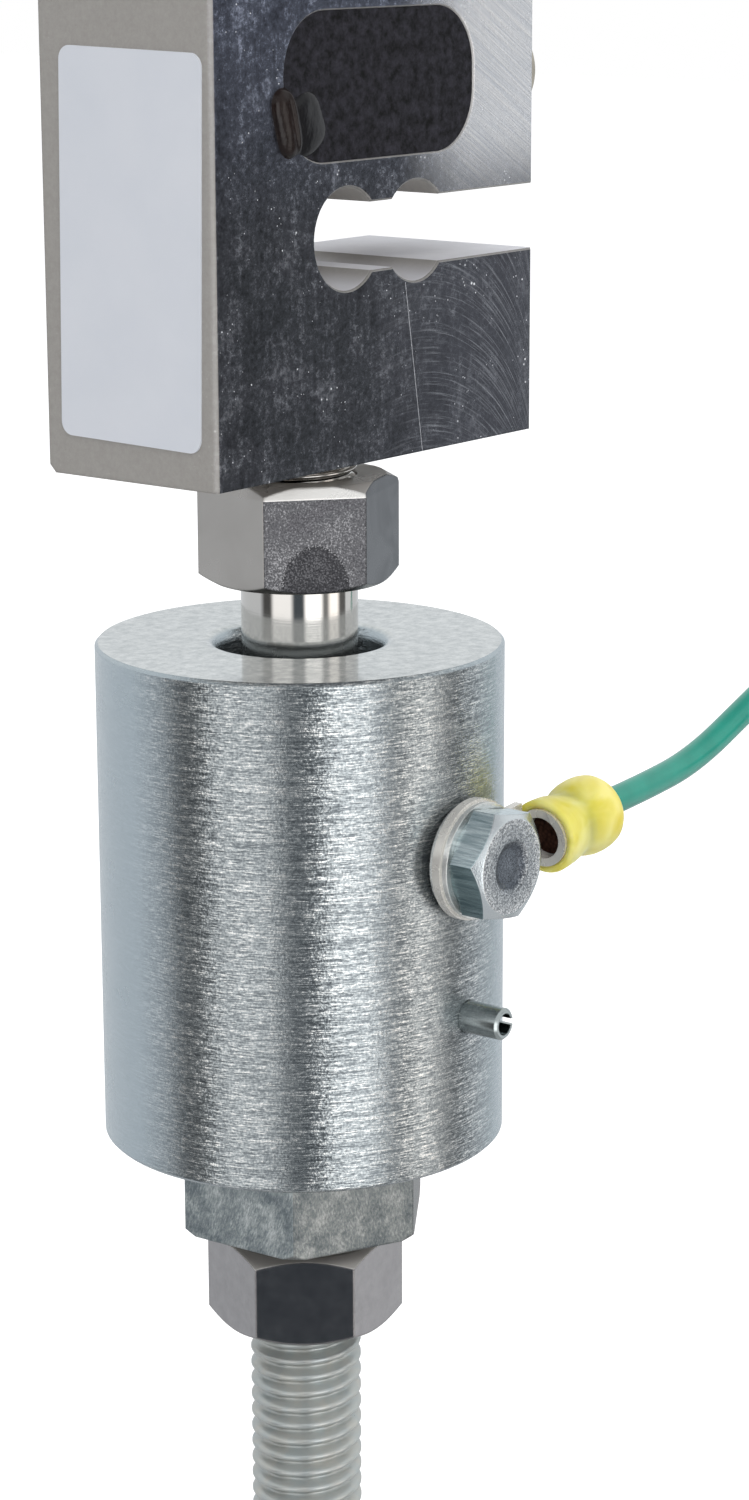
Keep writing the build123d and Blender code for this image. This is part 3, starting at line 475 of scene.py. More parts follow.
# Cable inlet bush: nickel-plated brass, turned and pressed into the right side,
# warm and bright, with a fine grain of 0.3 mm left by the lathe.
bush_metal, add, shader, mm = start_finish("nickel plated brass", "#b9b3a6", 1.0, 0.28)
bush_turning = add("TexNoise", {"Vector": mm, "Scale": 3.5})
round_and_grain(add, shader, 0.2, bush_turning, 0.01)
dress(bush_metal, "cable_inlet_bush")


# Lock nuts: forged hexagons, nickel plated. The upper one's front flat is
# coarse from the forge with a worn patch, and its other flats are smooth. The
# lower one is smooth all over.
def level_direction(bearing):
    """The level direction at this many degrees from +X towards +Y."""
    return math.cos(math.radians(bearing)), math.sin(math.radians(bearing)), 0.0


front_bearing = 229.6
forged, add, shader, mm = start_finish("nickel plated forged nut", "#aaa6a1", 1.0, 0.36)
facing = add("TexCoord")
to_front = {0: facing.outputs["Normal"], 1: level_direction(front_bearing)}
coarse_flat = add("VectorMath", to_front, operation="DOT_PRODUCT")
coarse = add("MapRange", {"Value": coarse_flat, "From": (0.9, 0.97)})
# Forge scale: dark skin with sparse bright grains of 0.2 mm, darker where worn. The skin is painted darker
# still, a painted dark reflection
scale_grain = add("TexNoise", {"Vector": mm, "Scale": 5.5, "Detail": 3.0, "Roughness": 0.6})
patch = add("TexNoise", {"Vector": mm, "Scale": 0.16, "Detail": 3.0, "Distortion": 0.6})
worn = add("Math", {0: patch, 1: 0.6, 2: scale_grain}, operation="MULTIPLY_ADD")
scale_and_painted_dark_tint = add("ValToRGB", {"Fac": worn}, stops=[(0.62, "#2b2b2d"), (0.85, "#414143"), (1.0, "#6c6c6e")])
# A dome-shaped dent low on that flat, darker, with a bright edge
dome_half_width, dome_height, dome_foot = 4.3, 5.6, -91.4
across_dome = tuple(part / dome_half_width for part in level_direction(front_bearing + 90))
along_flat = add("VectorMath", {0: mm, 1: across_dome}, operation="DOT_PRODUCT")
up_flat = add("SeparateXYZ", {"Vector": mm})
dome_scale = {1: 1 / dome_height, 2: -dome_foot / dome_height}
dome_rise = add("Math", {0: up_flat.outputs["Z"], **dome_scale}, operation="MULTIPLY_ADD")
dome_place = add("CombineXYZ", {"X": along_flat, "Y": dome_rise})
dome_size = add("VectorMath", {0: dome_place}, operation="LENGTH")
dome_edge = add("Math", {0: scale_grain, 1: 0.3, 2: dome_size}, operation="MULTIPLY_ADD")
dome = add(
    "ValToRGB",
    {"Fac": dome_edge},
    stops=[(0.96, (0.74, 0.74, 0.76, 1.0)), (1.02, (1.8, 1.8, 1.8, 1.0)), (1.08, "#ffffff")],
)
dented = add("Mix", {0: 1.0, 6: scale_and_painted_dark_tint, 7: dome}, blend_type="MULTIPLY")
# The flat to the left is painted paler and warmer than the one to the right, painted light and shade by
# facing
to_right = {0: facing.outputs["Normal"], 1: level_direction(front_bearing + 90)}
right_flat = add("VectorMath", to_right, operation="DOT_PRODUCT")
painted_side_light = add("MapRange", {"Value": right_flat, "From": (-0.6, 0.6)})
side_flats_painted_light = add("Mix", {0: painted_side_light, 6: "#aeaaa6", 7: "#5d6064"})
nut_colour = add("Mix", {0: coarse, 6: side_flats_painted_light, 7: dented})
# Where the coarse flat leans in at the top it is painted bright, a painted highlight
chamfer_slope = add("SeparateXYZ", {"Vector": facing.outputs["Normal"]})
leaning = add("MapRange", {"Value": chamfer_slope.outputs["Z"], "From": (0.1, 0.2)})
painted_top_highlight = add("Math", {0: leaning, 1: coarse}, operation="MULTIPLY")
with_painted_top_highlight = add("Mix", {0: painted_top_highlight, 6: nut_colour, 7: "#d6d4d1"})
# Its chamfer faces up and is painted pale and less metallic, painted light
chamfer = add("MapRange", {"Value": chamfer_slope.outputs["Z"], "From": (0.3, 0.6)})
set_inputs(shader, {
    "Base Color": add("Mix", {0: chamfer, 6: with_painted_top_highlight, 7: "#b0adaa"}),
    "Metallic": add("MapRange", {"Value": chamfer, "To": (1.0, 0.5)}),
    "Roughness": add("MapRange", {"Value": patch, "From": (0.35, 0.65), "To": (0.24, 0.4)}),
})
coarseness = add("MapRange", {"Value": coarse, "To": (0.1, 0.15)})
nut_relief = add("Math", {0: scale_grain, 1: coarseness}, operation="MULTIPLY")
round_and_grain(add, shader, 0.35, nut_relief, 0.06)
dress(forged, "upper_lock_nut")

# Smooth nickel: even, a little cloudy, with a fine grain of 0.3 mm
smooth_nickel, add, shader, mm = start_finish("nickel plated smooth nut", "#9d999f", 1.0, 0.16)
nut_clouds = add("TexNoise", {"Vector": mm, "Scale": 0.5, "Detail": 5.0, "Roughness": 0.7})
nut_tint = add("Mix", {0: nut_clouds, 6: "#858283", 7: "#a9a6a6"})
chamfer_slope = add("SeparateXYZ", {"Vector": add("TexCoord").outputs["Normal"]})
# The chamfer faces up and is painted pale and less metallic, painted light
chamfer = add("MapRange", {"Value": chamfer_slope.outputs["Z"], "From": (0.3, 0.6)})
set_inputs(shader, {
    "Base Color": add("Mix", {0: chamfer, 6: nut_tint, 7: "#d4d1cd"}),
    "Metallic": add("MapRange", {"Value": chamfer, "To": (1.0, 0.4)}),
    "Roughness": add("MapRange", {"Value": nut_clouds, "To": (0.08, 0.18)}),
})
fine_grain = add("TexNoise", {"Vector": mm, "Scale": 3.0, "Detail": 3.0})
round_and_grain(add, shader, 0.35, fine_grain, 0.008)
dress(smooth_nickel, "lower_lock_nut")


# Swivel stud and threaded rod: turned from bar. The thread's radius follows
# one rule along and round the piece: a rolled ridge of one pitch, a plain
# length below it, chamfers at both ends, and a ball at the foot of the stud.
def start_tree(name, sizes, counts=()):
    """A geometry node tree with these inputs and a finish, how nodes are added, and what it is given."""
    tree = bpy.data.node_groups.new(name, "GeometryNodeTree")
    tree.is_modifier = True
    tree.interface.new_socket(name="Geometry", in_out="OUTPUT", socket_type="NodeSocketGeometry")
    for kind, names in (("Float", sizes), ("Int", counts), ("Material", ("Finish",))):
        for socket_name in names:
            tree.interface.new_socket(name=socket_name, in_out="INPUT", socket_type="NodeSocket" + kind)
    return tree, functools.partial(add_node, tree), tree.nodes.new("NodeGroupInput").outputs


turned, add, given = start_tree(
    "turned and threaded bar",
    (
        "Bottom", "Length", "Crest Radius", "Root Radius", "Pitch", "Plain Radius", "Plain Length",
        "Top Chamfer", "Foot Chamfer", "Ball Radius", "Ball Centre",
    ),
    ("Sides", "Rings"),
)
sheet = add(
    "GeometryNodeMeshGrid",
    {"Size X": 1.0, "Size Y": 1.0, "Vertices X": given["Sides"], "Vertices Y": given["Rings"]},
)
flat = add("SeparateXYZ", {"Vector": add("GeometryNodeInputPosition")})
steps = {**dict(given.items()), "around": flat.outputs["X"], "along": flat.outputs["Y"]}
# Each step: its name, what is done, and the numbers, inputs or earlier steps it is done with
for name, operation, *parts in (
    ("inner rings", "SUBTRACT", "Rings", 3.0),
    ("ring step", "DIVIDE", "Length", "inner rings"),
    ("part way", "ADD", "along", 0.5),
    ("two rings", "MULTIPLY", "ring step", 2.0),
    ("with ends", "ADD", "Length", "two rings"),
    ("run", "MULTIPLY", "part way", "with ends"),
    ("raw height", "SUBTRACT", "run", "ring step"),
    ("over foot", "MAXIMUM", "raw height", 0.0),
    ("height", "MINIMUM", "over foot", "Length"),
    ("turns", "DIVIDE", "height", "Pitch"),
    ("wound", "SUBTRACT", "turns", "around"),
    ("phase", "FRACT", "wound"),
    ("both flanks", "MULTIPLY_ADD", "phase", 2.0, -1.0),
    ("off crest", "ABSOLUTE", "both flanks"),
    ("ridge", "SUBTRACT", 1.0, "off crest"),
    ("rolled", "SMOOTHSTEP", "ridge", 0.06, 0.88),
    ("thread depth", "SUBTRACT", "Crest Radius", "Root Radius"),
    ("threaded", "MULTIPLY_ADD", "rolled", "thread depth", "Root Radius"),
    ("is thread", "GREATER_THAN", "height", "Plain Length"),
    ("is plain", "SUBTRACT", 1.0, "is thread"),
    ("plain", "MULTIPLY", "is plain", "Plain Radius"),
    ("body", "MULTIPLY_ADD", "threaded", "is thread", "plain"),
    ("below top", "SUBTRACT", "Length", "height"),
    ("top edge", "SUBTRACT", "Crest Radius", "Top Chamfer"),
    ("top limit", "ADD", "below top", "top edge"),
    ("foot edge", "SUBTRACT", "Crest Radius", "Foot Chamfer"),
    ("foot limit", "ADD", "height", "foot edge"),
    ("end limit", "MINIMUM", "top limit", "foot limit"),
    ("chamfered", "MINIMUM", "body", "end limit"),
    ("from ball", "SUBTRACT", "height", "Ball Centre"),
    ("whole square", "MULTIPLY", "Ball Radius", "Ball Radius"),
    ("far square", "MULTIPLY", "from ball", "from ball"),
    ("ball square", "SUBTRACT", "whole square", "far square"),
    ("inside ball", "MAXIMUM", "ball square", 0.0),
    ("ball", "SQRT", "inside ball"),
    ("off middle", "ABSOLUTE", "along"),
    ("part of ring", "DIVIDE", 0.4, "Rings"),
    ("wall limit", "SUBTRACT", 0.5, "part of ring"),
    ("is wall", "LESS_THAN", "off middle", "wall limit"),
    ("outline", "MAXIMUM", "chamfered", "ball"),
    ("radius", "MULTIPLY", "outline", "is wall"),
    ("angle", "MULTIPLY", "around", 2 * math.pi),
    ("cosine", "COSINE", "angle"),
    ("X", "MULTIPLY", "radius", "cosine"),
    ("sine", "SINE", "angle"),
    ("Y", "MULTIPLY", "radius", "sine"),
    ("Z", "ADD", "height", "Bottom"),
):
    worked_on = {place: steps.get(part, part) for place, part in enumerate(parts)}
    if operation == "SMOOTHSTEP":
        steps[name] = add("MapRange", worked_on, **eased)
    else:
        steps[name] = add("Math", worked_on, operation=operation)
wrapped = add("CombineXYZ", {axis: steps[axis] for axis in "XYZ"})
set_place = add("GeometryNodeSetPosition", {"Geometry": sheet, "Position": wrapped})
merged = add("GeometryNodeMergeByDistance", {"Geometry": set_place, "Distance": 0.000002})
smooth = add("GeometryNodeSetShadeSmooth", {"Geometry": merged})
realized = add("GeometryNodeRealizeInstances", {"Geometry": smooth})
coated = add("GeometryNodeSetMaterial", {"Geometry": realized, "Material": given["Finish"]})
add("NodeGroupOutput", {0: coated})


def grow(name, tree, values):
    """A plain mesh piece made by a geometry node tree with these named inputs."""
    seed_mesh = bpy.data.meshes.new(name + "_seed")
    piece = bpy.data.objects.new(name, seed_mesh)
    scene.collection.objects.link(piece)
    maker = piece.modifiers.new("maker", "NODES")
    maker.node_group = tree
    for socket_name, value in values.items():
        maker[tree.interface.items_tree[socket_name].identifier] = value
    bpy.context.view_layer.update()
    evaluated = piece.evaluated_get(bpy.context.evaluated_depsgraph_get())
    made = bpy.data.meshes.new_from_object(evaluated)
    piece.modifiers.remove(maker)
    piece.data = made
    made.name = name
    bpy.data.meshes.remove(seed_mesh)
    finishing = bmesh.new()
    finishing.from_mesh(made)
    bmesh.ops.recalc_face_normals(finishing, faces=finishing.faces)
    finishing.to_mesh(made)
    finishing.free()
    return piece


# Ground bar: a dark mirror with fine rings from the wheel, 0.17 mm apart
ground_steel, add, shader, mm = start_finish("ground bright steel", "#c9c6c2", 1.0, 0.1)
set_inputs(shader, {
    "Anisotropic": 0.3,
    "Anisotropic Rotation": 0.25,
    "Tangent": add("Tangent", direction_type="RADIAL", axis="Z"),
})
wheel_stretch = add("Mapping", {"Vector": mm, "Scale": (0.25, 0.25, 6.0)})
wheel_lines = add("TexNoise", {"Vector": wheel_stretch, "Scale": 1.0, "Detail": 3.0})
set_inputs(shader, {
    "Roughness": add("MapRange", {"Value": wheel_lines, "To": (0.05, 0.14)}),
    "Normal": add("Bump", {"Strength": 0.25, "Distance": 0.00001, "Height": wheel_lines}),
})
stud = grow("stud_with_ball", turned, {
    "Bottom": -0.127, "Length": 0.0631, "Crest Radius": 0.0063, "Root Radius": 0.00556,
    "Pitch": 0.00127, "Plain Radius": 0.00635, "Plain Length": 0.035, "Top Chamfer": 0.001,
    "Foot Chamfer": -1.0, "Ball Radius": 0.009525, "Ball Centre": 0.0065, "Sides": 81, "Rings": 520,
    "Finish": ground_steel,
})
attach(stud, "load_cell")
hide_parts("swivel_stud")

# Rolled and plated thread: soft grey, bluish and yellowish in patches of 2 mm
rolled_zinc, add, shader, mm = start_finish("zinc plated rolled thread", "#bfbfb6", 0.55, 0.45)
passivate = add("TexNoise", {"Vector": mm, "Scale": 0.5, "Detail": 4.0, "Distortion": 0.5})
set_inputs(shader, {
    "Base Color": add("Mix", {0: passivate, 6: "#a0acb0", 7: "#bebab1"}),
    "Roughness": add("MapRange", {"Value": passivate, "To": (0.22, 0.42)}),
})
rod = grow("rod_with_thread", turned, {
    "Bottom": -0.20804, "Length": 0.0635, "Crest Radius": 0.00628, "Root Radius": 0.00520,
    "Pitch": 0.001954, "Plain Radius": 0.0056, "Plain Length": 0.0, "Top Chamfer": 0.0012,
    "Foot Chamfer": 0.0012, "Ball Radius": 0.0, "Ball Centre": 0.0, "Sides": 97, "Rings": 392,
    "Finish": rolled_zinc,
})
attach(rod, "coupling")
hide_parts("threaded_rod")


# Thread of the block's upper hole: cut 14 mm deep with a half inch fine tap. It
# is rougher than a rolled thread, and glints here and there down the hole.
tapped, add, given = start_tree("tapped thread", ("Radius", "Pitch", "Depth", "Ridge"))
turns = add("Math", {0: given["Depth"], 1: given["Pitch"]}, operation="DIVIDE")
helix = add("GeometryNodeCurveSpiral", {
    "Resolution": 48, "Rotations": turns, "Height": given["Depth"],
    "Start Radius": given["Radius"], "End Radius": given["Radius"],
})
ridge_section = add("GeometryNodeCurvePrimitiveCircle", {"Resolution": 4, "Radius": given["Ridge"]})
ridge_mesh = add(
    "GeometryNodeCurveToMesh", {"Curve": helix, "Profile Curve": ridge_section, "Fill Caps": True}
)
below_face = add("Math", {0: given["Depth"], 1: -1.0, 2: -0.0005}, operation="MULTIPLY_ADD")
drop = add("CombineXYZ", {"Z": below_face})
sunk = add("GeometryNodeTransform", {"Geometry": ridge_mesh, "Translation": drop})
tap_realized = add("GeometryNodeRealizeInstances", {"Geometry": sunk})
tap_coated = add("GeometryNodeSetMaterial", {"Geometry": tap_realized, "Material": given["Finish"]})
add("NodeGroupOutput", {0: tap_coated})
cut_steel, add, shader, mm = start_finish("nickel plated tapped thread", "#8f8d8b", 1.0, 0.3)
cut_noise = add("TexNoise", {"Vector": mm, "Scale": 2.0})
set_inputs(shader, {"Roughness": add("MapRange", {"Value": cut_noise, "To": (0.2, 0.45)})})
tap_thread = grow("upper_hole_thread", tapped, {
    "Radius": 0.00632, "Pitch": 0.00127, "Depth": 0.0128, "Ridge": 0.0006, "Finish": cut_steel,
})
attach(tap_thread, "load_cell")


# Ball joint inside the housing: moulded nylon cup and spacer, and turned steel
# seat and thrust washer, all hidden but for what shows past the stud
nylon, add, shader, mm = start_finish("moulded nylon", "#dcd8c8", 0.0, 0.45)
# Ivory, faintly translucent, with soft flow marks
set_inputs(shader, {"Subsurface Weight": 0.2, "Subsurface Scale": 0.001})
nylon_flow = add("TexNoise", {"Vector": mm, "Scale": 0.3, "Detail": 3.0})
set_inputs(shader, {"Base Color": add("Mix", {0: nylon_flow, 6: "#cfcab8", 7: "#e6e3d6"})})
dress(nylon, "insulating_cup", "insulating_spacer")

# Oiled steel: grey and shiny, with the tool's rings 0.2 mm apart
turned_steel, add, shader, mm = start_finish("oiled turned steel", "#8a8884", 1.0, 0.3)
turning_stretch = add("Mapping", {"Vector": mm, "Scale": (0.5, 0.5, 5.0)})
turning = add("TexNoise", {"Vector": turning_stretch, "Scale": 1.0})
set_inputs(shader, {"Normal": add("Bump", {"Strength": 0.4, "Distance": 0.00003, "Height": turning})})
dress(turned_steel, "seat_washer", "thrust_washer")


# Coupling housing: 44.45 mm bar, turned all over and zinc plated. The tool's
# lines run round it, broken into short dashes, and its top is smoother and
# cloudy.
zinc, add, shader, mm = start_finish("zinc plated turned steel", "#b4bcc0", 0.9, 0.3)
tangent = add("Tangent", direction_type="RADIAL", axis="Z")
set_inputs(shader, {"Anisotropic": 0.6, "Anisotropic Rotation": 0.25, "Tangent": tangent})
facing = add("TexCoord")
normal = add("SeparateXYZ", {"Vector": facing.outputs["Normal"]})
upright = add("Math", {0: normal.outputs["Z"]}, operation="ABSOLUTE")
end_face = add("MapRange", {"Value": upright, "From": (0.75, 0.95)})
# Dashes 1 mm long and 0.1 mm high, over lines 7 mm long at the tool's feed of
# 0.25 mm, with a speckle of 0.25 mm, painted as white glints with dark gaps
dash_size = add("Mapping", {"Vector": mm, "Scale": (1.0, 1.0, 0.1)}, vector_type="TEXTURE")
dashes = add("TexNoise", {"Vector": dash_size, "Scale": 1.0})
line_size = add("Mapping", {"Vector": mm, "Scale": (7.0, 7.0, 0.25)}, vector_type="TEXTURE")
lines = add("TexNoise", {"Vector": line_size, "Scale": 1.0})
speckle = add("TexNoise", {"Vector": mm, "Scale": 4.0, "Detail": 1.0})
plating = add("TexNoise", {"Vector": mm, "Scale": 0.16, "Detail": 5.0, "Roughness": 0.65})
dashed = add("Math", {0: lines, 1: 0.6, 2: dashes}, operation="MULTIPLY_ADD")
speckled = add("Math", {0: speckle, 1: 0.5, 2: dashed}, operation="MULTIPLY_ADD")
dash_glint_mark = add("MapRange", {"Value": speckled, "From": (0.88, 1.36)})
wall_tint = add("ValToRGB", {"Fac": dash_glint_mark}, stops=[(0.0, "#6a7074"), (0.5, "#a5abad"), (1.0, "#ecebe8")])
# The dashes and their painted glints show only on the side that faces the front; round the back and sides the
# wall is plain
to_front = {0: facing.outputs["Normal"], 1: level_direction(front_bearing)}
front_wall = add("VectorMath", to_front, operation="DOT_PRODUCT")
painted_glints_here = add("MapRange", {"Value": front_wall, "From": (0.42, 0.74), "To": (0.12, 1.0)}, **eased)
side_tint = add("Mix", {0: painted_glints_here, 6: "#b2bdc3", 7: wall_tint})
top_mottle = add("TexNoise", {"Vector": mm, "Scale": 0.7, "Detail": 6.0, "Roughness": 0.75})
top_tint = add("ValToRGB", {"Fac": top_mottle}, stops=[(0.35, "#adb3b4"), (0.65, "#dfe2e1")])
set_inputs(shader, {"Base Color": add("Mix", {0: end_face, 6: side_tint, 7: top_tint})})
zinc_haze = add("MapRange", {"Value": plating, "From": (0.3, 0.7), "To": (0.2, 0.3)})
zinc_gloss = add("Math", {0: end_face, 1: -0.14, 2: zinc_haze}, operation="MULTIPLY_ADD")
set_inputs(shader, {"Roughness": zinc_gloss})
on_wall = add("MapRange", {"Value": end_face, "To": (1.0, 0.05)})
zinc_relief = add("Math", {0: speckled, 1: on_wall}, operation="MULTIPLY")
round_and_grain(add, shader, 0.3, zinc_relief, 0.04)
# Each dash also faces a little to one side, so it mirrors the panel next door
swing = add("Math", {0: speckled, 1: 0.15, 2: -0.1725}, operation="MULTIPLY_ADD")
wall_swing = add("Math", {0: swing, 1: on_wall}, operation="MULTIPLY")
swung = add("VectorMath", {0: tangent, "Scale": wall_swing}, operation="SCALE")
grained = shader.inputs["Normal"].links[0].from_socket
leaning = add("VectorMath", {0: grained, 1: swung}, operation="ADD")
set_inputs(shader, {"Normal": add("VectorMath", {0: leaning}, operation="NORMALIZE")})
dress(zinc, "coupling_housing")


# End plug: screwed into the housing, its hexagon milled and zinc plated. The
# cutter left slanting scratches 4 mm long, over a mottle of 3 mm.
milled_zinc, add, shader, mm = start_finish("zinc plated milled steel", "#a9acab", 0.95, 0.3)
slant = add(
    "Mapping",
    {"Vector": mm, "Rotation": (0.35, -0.35, 0.0), "Scale": (0.2, 0.2, 4.0)},
    vector_type="TEXTURE",
)
scratches = add("TexNoise", {"Vector": slant, "Scale": 1.0, "Detail": 4.0, "Roughness": 0.7})
plug_mottle = add("TexNoise", {"Vector": mm, "Scale": 0.35, "Detail": 5.0, "Roughness": 0.6})
plug_marks = add("Math", {0: scratches, 1: plug_mottle}, operation="ADD")
plug_level = add("MapRange", {"Value": plug_marks, "From": (0.78, 1.25)})
plug_tint = add("ValToRGB", {"Fac": plug_level}, stops=[(0.0, "#7b8184"), (0.5, "#a7aaa9"), (1.0, "#dddcd8")])
# Its left flat is painted paler and bluer, the others darker and browner: painted light and shade by facing
facing = add("TexCoord")
to_left = {0: facing.outputs["Normal"], 1: level_direction(184)}
clean_side = add("VectorMath", to_left, operation="DOT_PRODUCT")
painted_left_light = add("MapRange", {"Value": clean_side, "From": (0.15, 0.97)})
painted_flat_shade = add("Mix", {0: painted_left_light, 6: "#6e6963", 7: "#f4fbff"})
set_inputs(shader, {"Base Color": add("Mix", {0: 1.0, 6: plug_tint, 7: painted_flat_shade}, blend_type="MULTIPLY")})
round_and_grain(add, shader, 0.35, plug_marks, 0.06)
dress(milled_zinc, "end_plug")


# Spring pin: bright strip rolled into a slotted tube and driven into the plug.
# Rolled strip is almost a mirror, hazy in places.
spring_strip, add, shader, mm = start_finish("bright spring steel", "#a9b0b0", 1.0, 0.14)
strip_noise = add("TexNoise", {"Vector": mm, "Scale": 1.2, "Detail": 3.0})
set_inputs(shader, {"Roughness": add("MapRange", {"Value": strip_noise, "To": (0.1, 0.26)})})
round_and_grain(add, shader, 0.12, strip_noise, 0.01)
dress(spring_strip, "spring_pin")


# Ground bolt and its washers: quarter inch, cold headed and zinc plated. The
# head's face is grainy from the die, its flats are drawn smooth, and the
# washers are stamped.
headed, add, shader, mm = start_finish("zinc plated cold headed steel", "#b0b8ba", 0.95, 0.24)
normal = add("SeparateXYZ", {"Vector": add("TexCoord").outputs["Normal"]})
die_face = add("MapRange", {"Value": normal.outputs["Y"], "From": (-0.5, -0.75)})
# The die leaves grains of 0.2 mm, and the drawn flats have lines 0.25 mm apart
die_grain = add("TexNoise", {"Vector": mm, "Scale": 5.0, "Roughness": 0.7})
drawn_size = add("Mapping", {"Vector": mm, "Scale": (0.25, 4.0, 0.25)}, vector_type="TEXTURE")
drawn_lines = add("TexNoise", {"Vector": drawn_size, "Scale": 1.0})
head_relief = add("Mix", {0: die_face, 2: drawn_lines, 3: die_grain}, data_type="FLOAT")
drawn_shine = add("MapRange", {"Value": drawn_lines, "From": (0.3, 0.7)})
flat_tint = add("Mix", {0: drawn_shine, 6: "#9db1b7", 7: "#eaf6f9"})
# A flat that faces down is painted duller than one that faces up, and the lowest is painted bright: painted
# light and shade by facing
flat_turn = add("MapRange", {"Value": normal.outputs["Z"], "From": (-1.0, 1.0)})
painted_flat_light = add(
    "ValToRGB",
    {"Fac": flat_turn},
    stops=[(0.08, "#ffffff"), (0.2, "#a3afb0"), (0.45, "#a3afb0"), (0.7, "#ffffff")],
)
drawn_flat = add("Mix", {0: 1.0, 6: flat_tint, 7: painted_flat_light}, blend_type="MULTIPLY")
# The dish in the face's middle is painted darker, painted shade in the recess, and the rim is brightest
from_axis = add("Mapping", {"Vector": mm, "Location": (0, 0, -bolt_level), "Scale": (1, 0, 1)})
axis_distance = add("VectorMath", {0: from_axis}, operation="LENGTH")
worked = add("Math", {0: die_grain, 1: 1.6, 2: axis_distance}, operation="MULTIPLY_ADD")
grain_and_painted_dish_shade = add(
    "ValToRGB",
    {"Fac": add("MapRange", {"Value": worked, "From": (0.0, 6.4)})},
    stops=[(0.2, "#8e949c"), (0.50, "#6e747c"), (0.60, "#c3c7ca"), (0.82, "#dfe2e3"), (0.98, "#ffffff")],
)
grain_level = add("MapRange", {"Value": die_grain, "From": (0.35, 0.65)})
grain_shade = add("Mix", {0: grain_level, 6: "#93979b", 7: "#ffffff"})
grained_face = add("Mix", {0: 1.0, 6: grain_and_painted_dish_shade, 7: grain_shade}, blend_type="MULTIPLY")
# Outside a 10 mm circle the corners are chamfered off, smooth
chamfered_corner = add("MapRange", {"Value": axis_distance, "From": (5.0, 5.15)})
rimmed_face = add("Mix", {0: chamfered_corner, 6: grained_face, 7: "#d3d9dc"})
set_inputs(shader, {"Base Color": add("Mix", {0: die_face, 6: drawn_flat, 7: rimmed_face})})
grain_depth = add("MapRange", {"Value": die_face, "To": (0.2, 1.0)})
head_height = add("Math", {0: head_relief, 1: grain_depth}, operation="MULTIPLY")
round_and_grain(add, shader, 0.25, head_height, 0.03)
corner_slope = add("Math", {0: chamfered_corner, 1: die_face}, operation="MULTIPLY")
corner_lean = add("Math", {0: corner_slope, 1: 0.09}, operation="MULTIPLY")
outward = add("VectorMath", {0: from_axis, "Scale": corner_lean}, operation="SCALE")
outward_world = add("VectorTransform", {"Vector": outward}, convert_from="OBJECT", convert_to="WORLD")
grained_head = shader.inputs["Normal"].links[0].from_socket
sloping = add("VectorMath", {0: grained_head, 1: outward_world}, operation="ADD")
set_inputs(shader, {"Normal": add("VectorMath", {0: sloping}, operation="NORMALIZE")})
dress(headed, "ground_bolt")

# Stamped washers: bright and warm, with rounded edges and a soft unevenness
stamped, add, shader, mm = start_finish("zinc plated stamped steel", "#dcd8cf", 0.8, 0.2)
stamp_noise = add("TexNoise", {"Vector": mm, "Scale": 1.2, "Detail": 4.0})
set_inputs(shader, {"Base Color": add("Mix", {0: stamp_noise, 6: "#ced1d0", 7: "#f6f5f1"})})
round_and_grain(add, shader, 0.2, stamp_noise, 0.03)
dress(stamped, "lock_washer", "flat_washer")


# Studio: a white backdrop all round and a pale floor under the hanging piece.
# Bright metal mirrors it, so dark flags stand between its panels, as they do
# round a real one, with a stronger panel in front and a warm one beside it.
world = bpy.data.worlds.new("studio")
scene.world = world
world.use_nodes = True
world.node_tree.nodes.clear()
add = functools.partial(add_node, world.node_tree)
heading = add("SeparateXYZ", {"Vector": add("TexCoord").outputs["Generated"]})
bearing = add("Math", {0: heading.outputs["Y"], 1: heading.outputs["X"]}, operation="ARCTAN2")
turns = add("Math", {0: bearing, 1: 1 / (2 * math.pi), 2: 1.0}, operation="MULTIPLY_ADD")
turn_part = add("Math", {0: turns}, operation="FRACT")
panels = add("ValToRGB", {"Fac": turn_part})
# Each panel or flag: the bearing from +X where it ends, how soft that end is,
# both in degrees, its brightness and its warmth
panel_ring = [
    (141, 10, 0.80, -0.04), (164, 8, 0.10, 0.0), (205, 8, 1.50, 0.0),
    (230, 8, 0.11, -0.16), (264, 9, 2.5, 0.0), (279, 8, 0.30, 0.0),
    (302, 8, 1.9, 0.04), (321, 3, 0.16, 0.0), (347, 10, 0.95, -0.03),
]
last_level, last_warmth = 0.78, -0.04
elements = panels.color_ramp.elements
elements.remove(elements[1])
elements[0].position = 0.0
elements[0].color = (last_level * (1 + last_warmth), last_level, last_level * (1 - last_warmth), 1.0)
for index, (end_bearing, softness, level, warmth) in enumerate(panel_ring):
    following = panel_ring[index + 1][2:] if index + 1 < len(panel_ring) else (last_level, last_warmth)
    for side, (bright, warm) in ((-1, (level, warmth)), (1, following)):
        element = elements.new((end_bearing + side * softness / 2) / 360)
        element.color = (bright * (1 + warm), bright, bright * (1 - warm), 1.0)
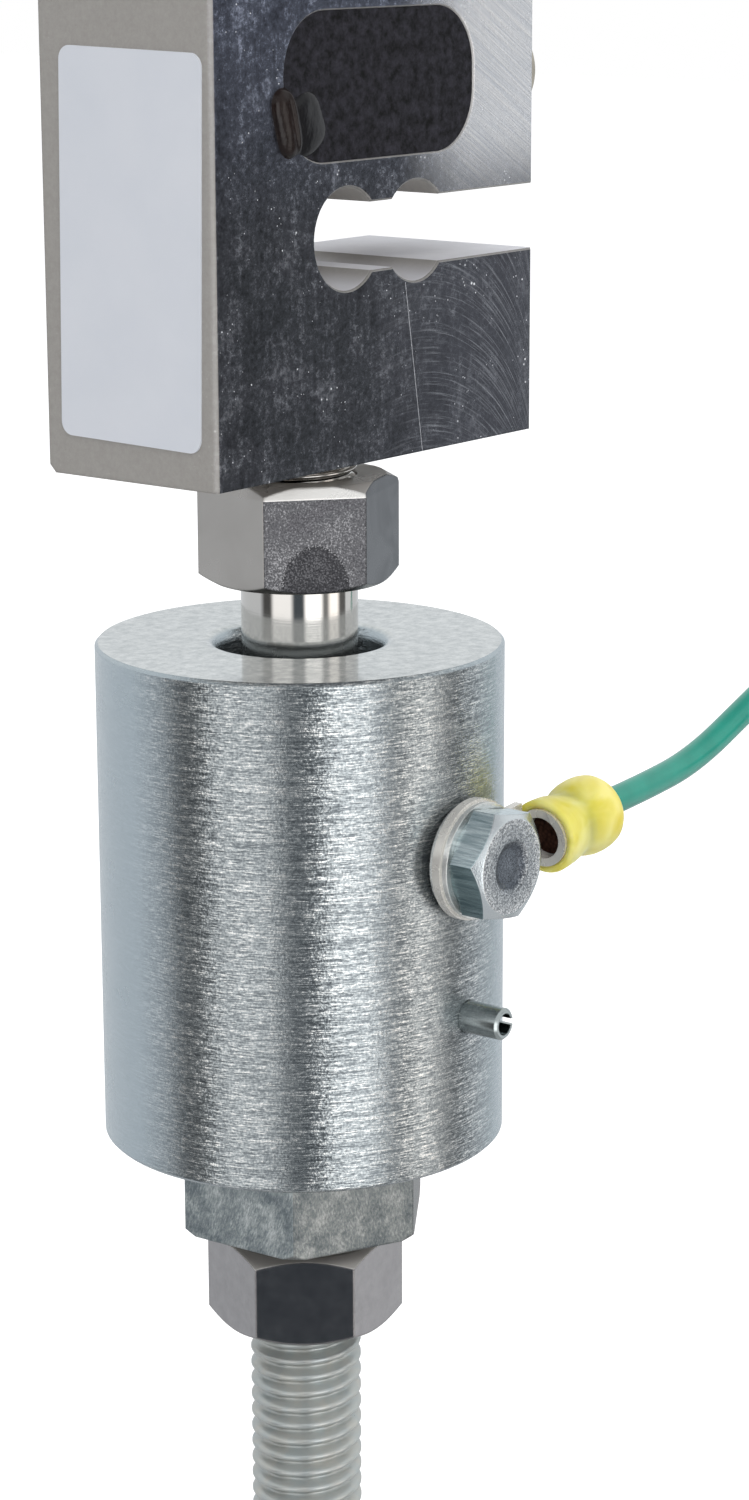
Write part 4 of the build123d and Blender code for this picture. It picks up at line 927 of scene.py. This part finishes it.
# The flags are low: level with the eye, the backdrop shows over them
above_flags = add("MapRange", {"Value": heading.outputs["Z"], "From": (0.12, 0.28)})
over_flags = add("Mix", {0: above_flags, 6: panels, 7: (0.9, 0.92, 0.93, 1.0)})
overhead = add("MapRange", {"Value": heading.outputs["Z"], "From": (0.75, 0.9)})
with_ceiling = add("Mix", {0: overhead, 6: over_flags, 7: (0.35, 0.35, 0.36, 1.0)})
underneath = add("MapRange", {"Value": heading.outputs["Z"], "From": (-0.45, -0.65)})
with_floor = add("Mix", {0: underneath, 6: with_ceiling, 7: (0.56, 0.57, 0.58, 1.0)})
ray = add("LightPath")
for_metal = add("Mix", {0: ray.outputs["Is Glossy Ray"], 6: (0.5, 0.5, 0.51, 1.0), 7: with_floor})
through = add(
    "Math", {0: ray.outputs["Is Camera Ray"], 1: ray.outputs["Is Transmission Ray"]}, operation="MAXIMUM"
)
for_camera = add("Mix", {0: through, 6: for_metal, 7: "#ffffff"})
add("OutputWorld", {"Surface": add("Background", {"Color": for_camera})})

for name, place, size, power in (
    ("key_softbox", (-0.55, -0.75, 0.75), 0.6, 9.0),
    ("fill_softbox", (0.9, -0.45, 0.35), 0.7, 5.0),
    ("back_softbox", (0.2, 0.9, 0.6), 0.7, 5.0),
):
    lamp_data = bpy.data.lights.new(name, "AREA")
    lamp_data.shape = "SQUARE"
    lamp_data.size = size
    lamp_data.energy = power
    lamp = bpy.data.objects.new(name, lamp_data)
    lamp.location = place
    lamp.rotation_euler = (Vector((0, 0, -0.1)) - Vector(place)).to_track_quat("-Z", "Y").to_euler()
    lamp.visible_glossy = False
    scene.collection.objects.link(lamp)

floor_mesh = bpy.data.meshes.new("floor")
floor_mesh.from_pydata([(-4, -4, -0.3), (4, -4, -0.3), (4, 4, -0.3), (-4, 4, -0.3)], [], [(0, 1, 2, 3)])
floor = bpy.data.objects.new("floor", floor_mesh)
scene.collection.objects.link(floor)
pale_floor = bpy.data.materials.new("pale studio floor")
pale_floor.use_nodes = True
pale_floor.node_tree.nodes.clear()
add = functools.partial(add_node, pale_floor.node_tree)
paint = add("BsdfDiffuse")
far_away = add("VectorMath", {0: add("TexCoord").outputs["Object"]}, operation="LENGTH")
glow_level = add("MapRange", {"Value": far_away, "From": (0.2, 1.6), "To": (0.35, 0.7)})
both = add("AddShader", {0: paint, 1: add("Emission", {"Strength": glow_level})})
floor_ray = add("LightPath")
floor_seen = add("MixShader", {0: floor_ray.outputs["Is Camera Ray"], 1: paint, 2: both})
add("OutputMaterial", {"Surface": floor_seen})
floor_mesh.materials.append(pale_floor)
floor.visible_glossy = False
floor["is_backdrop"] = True

size = {"cad": solid_bounds, "visual": [list(corner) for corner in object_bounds()]}
